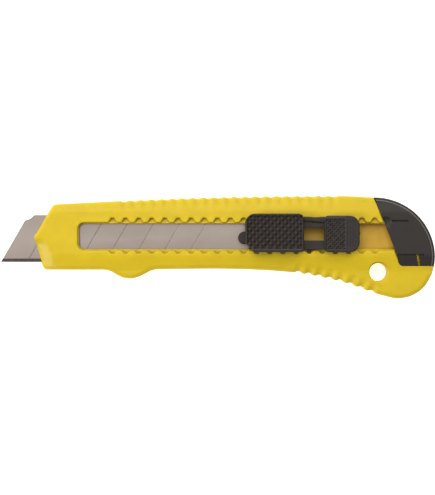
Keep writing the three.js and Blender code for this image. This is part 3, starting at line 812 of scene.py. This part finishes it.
def cap_outline(front_margin, foot_margin):
    """Planform that the cap takes over from the handle, grown along its front and its foot."""
    top = CAP_HIGH.y
    far = CAP_HIGH.x + 5
    foot_x = CAP_LOW.x + CAP_FOOT_RUN
    return outline([
        (CAP_LOW.x - front_margin, top + 0.1, 0),
        (foot_x - front_margin, CAP_LOW.y - foot_margin, 1.6 + front_margin),
        (far, CAP_LOW.y - foot_margin, 0),
        (far, top + 0.1, 0),
    ])


def groove_wave(points, sizes):
    """Depth of the finger grooves at points on the outline, as a share of the full depth."""
    pitch = sizes.groove_pitch / MM
    x, y = points[:, 0], points[:, 1]
    wave = np.zeros(len(points))
    for grooves, side in ((SPINE_GROOVES, y > 10), (BELLY_GROOVES, y < -8)):
        first, last = grooves["first"], grooves["last"]
        number = np.round((np.clip(x, first, last) - first) / pitch)
        away = np.abs(x - first - number * pitch)
        depth = grooves["share"] * np.cos(np.clip(away / pitch, 0, 0.5) * math.pi) ** 2
        wave = np.where(side, depth, wave)
    return wave


def beyond(points, start, end):
    """How far points lie on the right of the line from start to end."""
    along = (np.array(end) - start) / math.dist(start, end)
    return (points - np.array(start)) @ np.array([along[1], -along[0]])


def handle_fields(loop, sizes):
    """Height fields of the handle's back and front faces, and the ripple of its wall."""
    wave = groove_wave(loop, sizes)
    depth = sizes.groove_depth / MM
    drop = sizes.crown_drop / MM
    chin_slope, chin_lean, brow_slope = 0.42, 0.03, 0.5

    def fall(points):
        index, away = nearest(points, loop)
        fade = np.clip(1 - (away - 0.4) / 3.9, 0, 1)
        return crown_fall(points[:, 1]) * drop + wave[index] * fade * depth

    def top(points):
        # the nose is thinned by a wide facet under the blade's mouth and a narrow one above it
        y = points[:, 1]
        chin = chin_slope * beyond(points, CHIN_START, CHIN_END)
        chin += chin_lean * (CHIN_TOP_Y - y)
        chin = np.clip(chin, 0, None) * np.clip((CHIN_TOP_Y + 1.1 - y) / 2.2, 0, 1)
        brow = brow_slope * beyond(points, BROW_START, BROW_END)
        return FACE_Z - np.maximum(fall(points) + np.clip(brow, 0, None), chin)

    def bottom(points):
        return fall(points)

    return bottom, top, 0.75 * wave * depth


def notched_slot(sizes):
    """Outline of the toothed skin's opening."""
    pitch = sizes.notch_pitch / MM
    ledge, high_depth, low_depth = 0.4, 1.75, 1.25
    slot_low, slot_high = slot_edges()
    low_y, high_y = slot_low - ledge, slot_high + ledge
    front_x, end_x = slot_front() - ledge, CAP_HIGH.x + 5
    first = TOOTH_X - 15 * pitch
    low, high = [], []
    for i in range(21):
        x = first + i * pitch
        for row, y, depth in ((low, low_y, -low_depth), (high, high_y, high_depth)):
            row += [(x - 1.65, y, 0.7), (x - 0.6, y + depth, 0.5),
                    (x + 0.6, y + depth, 0.5), (x + 1.65, y, 0.7)]
    corners = [(front_x, low_y, 2.5), *low, (end_x, low_y, 0), (end_x, high_y, 0), *high[::-1],
               (front_x, high_y, 2.5)]
    return outline(corners, 4)


def slot_front():
    """X of the slot's front end: the tongue's place at the end of its travel, with room to stop."""
    return HOLDER_LOW.x - TRAVEL_FORWARD - 0.85


def slot_edges():
    """Y of the slot's two edges."""
    return -0.8, 8.97


class KNIFE_OT_handle(bpy.types.Operator):
    """Build the handle moulding with its slot, notches, grooves, tenon and cored back."""

    bl_idname = "knife.handle"
    bl_label = "Handle"

    def execute(self, context):
        sizes = context.scene.knife_handle
        loop = handle_outline()
        bottom, top, ripple = handle_fields(loop, sizes)
        low = np.array([HANDLE_LOW.x, HANDLE_LOW.y])
        high = np.array([HANDLE_HIGH.x, HANDLE_HIGH.y])
        coarse, fine = grid(low, high, 1.1), grid(low, high, 0.4)
        edge_round = sizes.edge_round / MM
        coarse = coarse[inside(coarse, loop)]
        fine = fine[inside(fine, loop)]
        coarse = coarse[nearest(coarse, loop)[1] > 4.6]
        away = nearest(fine, loop)[1]
        fine = fine[(away > edge_round + 0.25) & (away < 4.2)]
        extra = np.vstack([coarse, fine])
        body = slab("handle", loop, bottom, top, edge_round, edge_round, extra, ripple=ripple)

        # blade channel, low in the nose, higher under the lips, open at both ends
        channel_low, channel_high = BLADE_LOW.y - GAP, BLADE_HIGH.y + GAP
        mouth_x = slot_front() - GAP
        floor_z, roof_z = BLADE_LOW.z - GAP, BLADE_HIGH.z + GAP
        lip_z = roof_z + 1.0
        ledge_z = LEAF_LOW.z - GAP
        mouth = cutter(plate(-80, mouth_x + 1, channel_low, channel_high), floor_z, roof_z)
        run = cutter(plate(mouth_x, 90, channel_low, channel_high), floor_z, lip_z)
        slot_low, slot_high = slot_edges()
        lips = cutter(plate(slot_front(), 90, slot_low, slot_high, 2.2, 8), floor_z + 1, FACE_Z + 1,
                      [(ledge_z, 0.35, 1)])
        teeth = cutter(notched_slot(sizes), ledge_z, FACE_Z + 1, [(FACE_Z, 0.42, 1)])
        carve(body, mouth, run, lips, teeth)

        carve(body, self.cap_seat(sizes))
        hole = arc(HOLE_X, HOLE_Y, sizes.hole_radius / MM, 0, 360, 5)[:-1]
        rim = FACE_Z - sizes.crown_drop / MM
        carve(body, cutter(hole, -1, FACE_Z + 1, [(rim, 0.5, 1), (FACE_Z - rim, 0.5, -1)]))
        carve(body, *self.pockets())
        piece = finish_mesh(body, "handle")
        dress(piece, "moulded_yellow_polypropylene", "channel_shade_yellow_polypropylene",
              "chin_highlight_yellow_polypropylene")
        for face in piece.data.polygons:
            x, y, z = face.center / MM
            within = x > mouth_x - 0.1 and channel_low - 0.1 < y < channel_high + 0.1
            # painted shade: the faces of the blade channel's floor and walls take the darker yellow
            face.material_index = int(within and floor_z - 0.1 < z < lip_z + 0.05)
            # painted highlight: the upper part of the chin facet takes the paler yellow
            on_chin = beyond(np.array([x, y]), CHIN_START, CHIN_END) > 0.1
            if on_chin and x < HANDLE_LOW.x + 10 and y < CHIN_TOP_Y - 0.6:
                face.material_index = 2 * int(z > FACE_Z - 2.2)
        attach(piece, "handle")
        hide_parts("handle_body")
        return {"FINISHED"}

    def cap_seat(self, sizes):
        """The space that the cap takes, around the tenon that stays."""
        seat = cutter(cap_outline(0.35, 0.04), -1, FACE_Z + 1, [(FACE_Z, 0.25, 1)])
        ring, spread = cap_disc(2.1, 2.0)
        bottom, top = crowned(1.3, sizes.crown_drop / MM)
        return carve(seat, slab("tenon", ring, bottom, top, 0.5, 0.5, spread))

    def pockets(self):
        """Cutters for the cored pockets in the back."""
        depth, deep, corner = 2.8, 5.5, 1.2
        first_x, width, rib = -46, 13.0, 1.5
        made = []
        for i in range(7):
            x = first_x + i * (width + rib)
            made.append(cutter(plate(x, x + width, 0, 10.2, corner), -1, depth, [(0, 0.25, -1)]))
        made.append(cutter(plate(44.5, 56, -11.2, -5.4, corner), -1, deep))
        made.append(cutter(plate(66.8, 77.5, -14.6, -9, corner), -1, deep))
        return made


# ------------------------------------------------------------------ blade


class KNIFE_OT_blade(bpy.types.Operator):
    """Build the scored steel strip with its ground edge."""

    bl_idname = "knife.blade"
    bl_label = "Blade"

    def execute(self, context):
        sizes = context.scene.knife_blade
        slope = 1 / math.tan(sizes.angle)
        edge_y, spine_y = BLADE_LOW.y, BLADE_HIGH.y
        tip_x, tail_x = BLADE_LOW.x, BLADE_HIGH.x
        clip = 1.5
        shoulder_y = spine_y - 2.1
        shoulder_x = tip_x + (shoulder_y - edge_y) * slope
        loop = densify(np.array([
            (tip_x, edge_y), (tail_x - clip, edge_y), (tail_x, edge_y + clip),
            (tail_x, spine_y - clip), (tail_x - clip, spine_y), (shoulder_x + 3.6, spine_y),
            (shoulder_x + 1.9, spine_y - 1.5), (shoulder_x, shoulder_y),
        ]), 0.8)
        middle = (BLADE_LOW.z + BLADE_HIGH.z) / 2
        half = (BLADE_HIGH.z - BLADE_LOW.z) / 2
        grind, land = sizes.grind_width / MM, 0.025
        pitch, depth = sizes.score_pitch / MM, sizes.score_depth / MM
        score_half = 0.14

        def half_thickness(points):
            up = np.clip((points[:, 1] - edge_y) / grind, 0, 1)
            return land + (half - land) * up

        def across_score(points):
            # distance from the nearest score line, square to it
            base = points[:, 0] - (points[:, 1] - edge_y) * slope - tip_x
            number = np.clip(np.round(base / pitch), 1, sizes.score_count)
            return np.abs(base - number * pitch) * math.sin(sizes.angle)

        def top(points):
            groove = depth * np.clip(1 - across_score(points) / score_half, 0, 1)
            return middle + half_thickness(points) - np.minimum(groove, half_thickness(points))

        def bottom(points):
            return middle - half_thickness(points)

        creases = []
        for number in range(1, sizes.score_count + 1):
            for shift in (-score_half, 0.0, score_half):
                y = np.array([edge_y + 0.1, edge_y + grind, spine_y - 0.1])
                x = tip_x + number * pitch + shift / math.sin(sizes.angle) + (y - edge_y) * slope
                creases.append(np.column_stack([x, y]))
        bevel_start = tip_x + grind * slope + 0.1
        creases.append(np.array([(bevel_start, edge_y + grind), (tail_x - 0.5, edge_y + grind)]))
        strip = slab("blade_strip", loop, bottom, top, 0.012, 0.012, creases=creases)
        peg_x, peg_y = HOLDER_LOW.x + 2.4, 3.55
        hole = arc(peg_x, peg_y, 2.2, 0, 360, 6)[:-1]
        carve(strip, cutter(hole, 0, FACE_Z))
        piece = finish_mesh(strip, "blade_strip", 6)
        dress(piece, "ground_carbon_steel", "honed_bevel_dark_reflection_steel", "score_line_shade_steel")
        for face in piece.data.polygons:
            centre = np.array([face.center[:2]]) / MM
            # painted shade: faces in the score lines take the darker steel
            if face.normal.z > 0.5 and across_score(centre)[0] < score_half:
                face.material_index = 2
            # painted reflection: the bevel's faces take the darker honed steel
            if centre[0, 1] < edge_y + grind and abs(face.normal.z) > 0.5:
                face.material_index = 1
        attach(piece, "slider")
        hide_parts("blade")
        return {"FINISHED"}


# ------------------------------------------------------------------ slider


def diamonds(points, period, flat, origin):
    """Depth of a knurl of 45 degree V-grooves, from 0 on the diamonds to 1 in the grooves."""
    pitch = period / math.sqrt(2)
    local = turn(points - origin, math.radians(-45))
    phase = 2 * np.abs((local / pitch + 0.5) % 1 - 0.5)
    depth = np.clip((phase - flat) / (1 - flat), 0, 1)
    return depth.max(1)


def field_mask(points, low_x, high_x, low_y, high_y, ramp_mm):
    """1 well inside a rectangle, 0 outside it, with a short ramp between."""
    x, y = points[:, 0], points[:, 1]
    reach = np.minimum.reduce([x - low_x, high_x - x, y - low_y, high_y - y])
    return np.clip(reach / ramp_mm, 0, 1)


PLATE_UNDER_Z = SLIDER_LOW.z + 1.7  # underside of the slider's outer plate, above the clip pins
PLATE_TOP_Z = PLATE_UNDER_Z + 1.1


def slider_places():
    """X of the front pad's end and of the rear pad's two ends."""
    return ARM_LOW.x - 0.3, ARM_HIGH.x, SLIDER_HIGH.x - 0.4


def pad_outlines():
    """Outlines of the front pad and the rear pad."""
    low_x, low_y, high_y = SLIDER_LOW.x, SLIDER_LOW.y, SLIDER_HIGH.y
    front_end, rear_start, rear_end = slider_places()
    front = outline([
        (low_x, low_y + 3.6, 1.2), (low_x + 3.6, low_y, 1.2), (front_end, low_y, 1.3),
        (front_end, high_y, 2.0), (low_x, high_y, 3.8),
    ])
    rear = outline([
        (rear_start, -0.9, 0.3), (rear_start + 1.1, low_y, 0.6), (rear_end, low_y, 3.8),
        (rear_end, high_y - 0.8, 3.8), (rear_start + 1.1, high_y - 0.8, 0.6),
        (rear_start, 11.2, 0.3),
    ])
    return densify(front, 0.4), densify(rear, 0.4)


class KNIFE_OT_slider(bpy.types.Operator):
    """Build the thumb slider: knurled pad, bridge with its window and rear pad."""

    bl_idname = "knife.slider"
    bl_label = "Thumb slider"

    def execute(self, context):
        sizes = context.scene.knife_slider
        front, rear = pad_outlines()
        under, plate_top = PLATE_UNDER_Z, PLATE_TOP_Z
        front_top, rear_top = SLIDER_HIGH.z, SLIDER_HIGH.z - 0.7
        low_x, low_y, high_y = SLIDER_LOW.x, SLIDER_LOW.y, SLIDER_HIGH.y
        front_end, rear_start, rear_end = slider_places()
        middle = np.array([(low_x + front_end) / 2, (low_y + high_y) / 2])
        period, depth = sizes.knurl_period / MM, sizes.knurl_depth / MM
        fine_period = sizes.fine_period / MM
        rib_pitch, rib_depth = 0.62, 0.09

        def front_face(points):
            mask = field_mask(points, low_x + 0.7, front_end - 0.6, low_y + 1.2, high_y - 0.7, 0.3)
            return front_top - depth * mask * diamonds(points, period, 0.22, middle)

        def rear_face(points):
            mask = field_mask(points, rear_start + 0.4, rear_start + 7.9, low_y + 1.1, high_y - 1.9, 0.2)
            fine = 0.5 * mask * diamonds(points, fine_period, 0.2, middle)
            ribs = field_mask(points, rear_start + 8.6, rear_end - 1.2, low_y + 1.6, high_y - 2.4, 0.2)
            wave = 0.5 - 0.5 * np.cos(points[:, 0] * 2 * math.pi / rib_pitch)
            return rear_top - fine - rib_depth * ribs * wave

        def spots(loop, spacing, rim, angle):
            found = grid(loop.min(0), loop.max(0), spacing, angle)
            found = found[inside(found, loop)]
            return found[nearest(found, loop)[1] > rim + 0.12]

        step = period / math.sqrt(2) / 8
        diagonal = math.radians(45)
        front_pad = slab("front_pad", front, level(under), front_face, 0.15, 0.5,
                         spots(front, step, 0.5, diagonal))
        rear_pad = slab("rear_pad", rear, level(under), rear_face, 0.15, 0.45,
                        spots(rear, 0.15, 0.45, diagonal))
        window_low, window_high = 2.5, 7.5
        low_rail = slab("low_rail", densify(plate(front_end - 1, rear_start + 1, -0.9, window_low), 0.5),
                        level(under), level(plate_top), 0.1, 0.2)
        slit = [(front_end - 1, window_high), (rear_start + 1, window_high), (rear_start + 1, 8.95),
                (front_end - 1, 9.45)]
        high_rail = slab("high_rail", densify(np.array(slit, float), 0.5), level(under),
                         level(plate_top), 0.1, 0.12)
        # a thin black sheet closes the slit from below, a dark sheet put where the slit shows only shade; its
        # notch clears the arm's tooth at rest, but at the end of the arm's bend the tooth still reaches 0.08 mm
        # into it
        slit_shade_web = cutter(np.array([
            (front_end - 0.5, 8.3), (rear_start + 0.5, 8.3), (rear_start + 0.5, 9.35),
            (TOOTH_X + 1.1, 9.76), (TOOTH_X + 1.1, 9.45), (TOOTH_X - 1.1, 9.45),
            (TOOTH_X - 1.1, 9.93), (front_end - 0.5, 10.0),
        ]), under - 0.24, under + 0.06)
        pin_y, pin_radius = 4.05, 1.6
        pins = [cutter(arc(x, pin_y, pin_radius, 0, 360, 12)[:-1], SLIDER_LOW.z, under + 0.5)
                for x in (low_x + 5.5, low_x + 17.5)]
        nub = cutter(arc(rear_end - 0.1, 5.1, 0.5, 0, 360, 20)[:-1], under + 0.5, under + 1.5)
        carve(front_pad, low_rail, high_rail, rear_pad, slit_shade_web, *pins, nub, operation="UNION")
        piece = finish_mesh(front_pad, "thumb_slider_moulding", 24)
        dress(piece, "moulded_black_abs", "worn_and_highlit_black_abs")
        for face in piece.data.polygons:
            x, y, z = face.center / MM
            # the knurled tops take the paler-tipped black: partly thumb polish, partly painted highlight
            on_field = low_y + 0.8 < y < high_y - 0.8 and low_x + 0.8 < x < rear_start + 8
            face.material_index = int(on_field and z > plate_top + 0.5 and face.normal.z > 0.3)
        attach(piece, "slider")
        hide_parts("thumb_slider")
        return {"FINISHED"}


class KNIFE_OT_springs(bpy.types.Operator):
    """Build the ratchet's spring arm and pawl leaf, and finish the blade holder."""

    bl_idname = "knife.springs"
    bl_label = "Ratchet springs and holder"

    def execute(self, context):
        under, plate_top = PLATE_UNDER_Z, PLATE_TOP_Z
        rear_start = slider_places()[1]
        arm_loop = densify(outline([
            (ARM_LOW.x - 0.2, 10.0, 0.1), (rear_start + 0.8, 9.35, 0), (rear_start + 0.8, 11.5, 0),
            (ARM_LOW.x + 4.2, 11.35, 2.0), (ARM_LOW.x - 0.2, 11.6, 0.2),
        ], 6), 0.4)
        arm = slab("spring_arm", arm_loop, level(under + 0.1), level(plate_top), 0.08, 0.15)
        tip_loop = outline([
            (TOOTH_X - 0.8, 9.9, 0), (TOOTH_X + 0.8, 9.7, 0), (TOOTH_X + 0.8, 10.1, 0),
            (TOOTH_X + 0.5, 10.6, 0.2), (TOOTH_X - 0.5, 10.6, 0.2), (TOOTH_X - 0.8, 10.1, 0),
        ], 4)
        carve(arm, cutter(tip_loop, LEAF_LOW.z, under + 0.3), operation="UNION")
        arm = finish_mesh(arm, "spring_arm")
        leaf_loop = densify(outline([
            (TOOTH_X - 0.95, -0.6, 0.15), (TOOTH_X - 0.5, LEAF_LOW.y, 0.3),
            (TOOTH_X + 0.5, LEAF_LOW.y, 0.3), (TOOTH_X + 0.95, -0.45, 0.15),
            (LEAF_HIGH.x, -0.45, 0), (LEAF_HIGH.x, LEAF_HIGH.y, 0),
            (TOOTH_X - 0.95, LEAF_HIGH.y - 0.4, 0.3),
        ], 5), 0.3)
        leaf = slab("pawl_leaf", leaf_loop, level(LEAF_LOW.z), level(LEAF_HIGH.z), 0.06, 0.12)
        leaf = finish_mesh(leaf, "pawl_leaf")
        for piece, body, node in ((arm, "spring_arm", "ratchet_spring_arm"),
                                  (leaf, "pawl_leaf", "ratchet_pawl_leaf")):
            dress(piece, "moulded_black_abs")
            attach(piece, body)
            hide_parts(node)
        holder = frame["nodes"]["blade_holder"]
        dress(holder, "moulded_black_abs")
        weld = holder.modifiers.new("weld", "WELD")  # its triangles share no vertices until then
        weld.merge_threshold = 0.001 * MM
        soften = holder.modifiers.new("soften", "BEVEL")
        soften.width = 0.12 * MM
        soften.segments = 2
        soften.limit_method = "ANGLE"
        return {"FINISHED"}


# ------------------------------------------------------------------ end cap


class KNIFE_OT_cap(bpy.types.Operator):
    """Build the end cap with its rounded rim, snapper slit, lines and thumbnail scoop."""

    bl_idname = "knife.cap"
    bl_label = "End cap"

    def execute(self, context):
        drop = context.scene.knife_handle.crown_drop / MM
        rim, step_radius, step_width = 0.8, CAP_RADIUS - 1.25, 0.33
        loop = arc(CAP_CENTRE_X, CAP_CENTRE_Y, CAP_RADIUS, 0, 360, 1.0)[:-1]
        extra = grid(loop.min(0), loop.max(0), 0.6)
        extra = extra[np.hypot(extra[:, 0] - CAP_CENTRE_X, extra[:, 1] - CAP_CENTRE_Y)
                      < step_radius - 0.3]
        step_rings = [arc(CAP_CENTRE_X, CAP_CENTRE_Y, step_radius + shift, 0, 360, 1.0)[:-1]
                      for shift in (0.0, step_width)]
        extra = np.vstack([extra, *step_rings])

        def top(points):
            # a low step runs round the rim
            away = np.hypot(points[:, 0] - CAP_CENTRE_X, points[:, 1] - CAP_CENTRE_Y) - step_radius
            step = 0.17 * np.clip(away / step_width, 0, 1)
            return FACE_Z - crown_fall(points[:, 1]) * drop - step

        shell = slab("cap", loop, crowned(0, drop)[0], top, rim, rim, extra)
        # the front edge stands back a little, so that the slider's neck clears it at its rear limit
        neck_room = 0.12
        shape = cutter(cap_outline(-neck_room, 0), -1, FACE_Z + 1)
        carve(shell, shape, operation="INTERSECT")
        skin, wall = 1.0, 1.8
        ring, spread = cap_disc(wall, 1.5)
        cavity = slab("cavity", ring, *crowned(skin, drop), 0.3, 0.3, spread)
        slit = np.array([(76.8, -8), (77.7, -8), (76.65, -2.9), (75.75, -2.9)])
        slit_depth, line_depth = 4.5, 0.9
        cuts = [
            cavity,
            cutter(slit, FACE_Z - slit_depth, FACE_Z + 1),
            cutter(plate(66.5, 72.8, 9.65, 10.35, 0.25), FACE_Z - line_depth, FACE_Z + 1),
            cutter(plate(68.8, 78.6, -3.25, -2.6, 0.2), FACE_Z - line_depth, FACE_Z + 1),
            self.scoop(),
        ]
        carve(shell, *cuts)
        piece = finish_mesh(shell, "tail_cap")
        dress(piece, "moulded_black_abs", "rim_highlight_black_abs")
        for face in piece.data.polygons:
            # painted highlight: the step round the rim takes the pale grey, for the light line it catches
            x, y, z = face.center / MM
            from_step = math.dist((x, y), (CAP_CENTRE_X, CAP_CENTRE_Y)) - step_radius
            on_face = z > FACE_Z - 2.5 and face.normal.z > 0.5
            face.material_index = int(on_face and 0 < from_step < step_width)
        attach(piece, "end_cap")
        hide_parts("end_cap")
        return {"FINISHED"}

    def scoop(self):
        """A shallow dished cutter for the thumbnail scoop."""
        centre, radius, depth = np.array([64.2, 9.2]), 2.5, 0.85
        loop = arc(*centre, radius, 0, 360, 6)[:-1]
        extra = grid(loop.min(0), loop.max(0), 0.3)
        extra = extra[np.linalg.norm(extra - centre, axis=1) < radius - 0.15]

        def dish(points):
            away = np.linalg.norm(points - centre, axis=1) / radius
            return FACE_Z - depth * (1 - np.clip(away, 0, 1) ** 2.5)

        return slab("scoop", loop, dish, level(FACE_Z + 1), 0.0, 0.0, extra)


# ------------------------------------------------------------------ studio


class KNIFE_OT_stage(bpy.types.Operator):
    """Build the floor, the soft lights and the camera."""

    bl_idname = "knife.stage"
    bl_label = "Studio"

    def execute(self, context):
        low, high = cad_bounds
        middle = (low + high) / 2
        reach, floor_z = 2000, low.z / MM - 0.2
        corners = [(x, y, floor_z) for x, y in plate(-reach, reach, -reach, reach)]
        floor = mesh_object("floor", corners, [(0, 1, 2, 3)])
        dress(floor, "lit_opal_acrylic")
        # a key from the spine side, a strip at the left for the facets of the nose, one beyond the
        # tail for the cap's rim and a wide panel overhead that the flat steel mirrors
        self.lamp("key_softbox", (-0.18, 0.5, 0.72), middle, 0.7, 4.0)
        self.lamp("left_strip", (-0.64, -0.14, 0.47), middle, 0.2, 2.3)
        self.lamp("rim_strip", (0.5, 0.55, 0.5), middle, 0.12, 1.1)
        self.lamp("overhead_panel", (0.0, 0.3, 1.3), middle, 1.2, 3.6)
        world = context.scene.world or bpy.data.worlds.new("studio")
        context.scene.world = world
        world.use_nodes = True
        background = world.node_tree.nodes.get("Background")
        background.inputs["Color"].default_value = (1.0, 1.0, 1.0, 1.0)
        background.inputs["Strength"].default_value = 0.3
        self.camera(middle)
        context.scene.view_settings.view_transform = "Standard"
        return {"FINISHED"}

    def lamp(self, name, place, target, size, power):
        """A square softbox that faces the knife."""
        data = bpy.data.lights.new(name, "AREA")
        data.size = size
        data.energy = power
        lamp = bpy.data.objects.new(name, data)
        lamp.location = place
        lamp.rotation_euler = (target - lamp.location).to_track_quat("-Z", "Y").to_euler()
        bpy.context.scene.collection.objects.link(lamp)

    def camera(self, middle):
        """A long lens straight above the knife, with the spine side up in the picture."""
        data = bpy.data.cameras.new("camera")
        data.lens = 100
        data.clip_start = 0.01
        seen_height = 189.7 * MM
        camera = bpy.data.objects.new("camera", data)
        subject_z = BLADE_HIGH.z * MM
        distance = seen_height * data.lens / data.sensor_width
        camera.location = (middle.x, middle.y - 0.15 * MM, subject_z + distance)
        bpy.context.scene.collection.objects.link(camera)
        bpy.context.scene.camera = camera


# ------------------------------------------------------------------ panel and registration


class KNIFE_PT_panel(bpy.types.Panel):
    """Lists the steps that build the knife's looks."""

    bl_label = "Snap-off Knife"
    bl_idname = "KNIFE_PT_panel"
    bl_space_type = "VIEW_3D"
    bl_region_type = "UI"
    bl_category = "Knife"

    def draw(self, context):
        layout = self.layout
        for operator in OPERATORS:
            layout.operator(operator.bl_idname)
        for group in ("knife_handle", "knife_blade", "knife_slider", "knife_finishes"):
            sizes = getattr(context.scene, group)
            box = layout.box()
            for name in sizes.bl_rna.properties.keys():
                if name not in ("rna_type", "name"):
                    box.prop(sizes, name)


OPERATORS = (KNIFE_OT_handle, KNIFE_OT_blade, KNIFE_OT_slider, KNIFE_OT_springs, KNIFE_OT_cap,
             KNIFE_OT_stage)
GROUPS = {
    "knife_handle": HandleSizes,
    "knife_blade": BladeSizes,
    "knife_slider": SliderSizes,
    "knife_finishes": Finishes,
}


def register():
    for group in GROUPS.values():
        bpy.utils.register_class(group)
    for name, group in GROUPS.items():
        setattr(bpy.types.Scene, name, PointerProperty(type=group))
    for operator in OPERATORS:
        bpy.utils.register_class(operator)
    bpy.utils.register_class(KNIFE_PT_panel)


def unregister():
    bpy.utils.unregister_class(KNIFE_PT_panel)
    for operator in reversed(OPERATORS):
        bpy.utils.unregister_class(operator)
    for name in GROUPS:
        delattr(bpy.types.Scene, name)
    for group in reversed(list(GROUPS.values())):
        bpy.utils.unregister_class(group)


def main():
    register()
    bpy.ops.knife.stage()
    bpy.ops.knife.handle()
    bpy.ops.knife.blade()
    bpy.ops.knife.slider()
    bpy.ops.knife.springs()
    bpy.ops.knife.cap()
    bpy.context.view_layer.update()


if __name__ == "__main__":
    main()
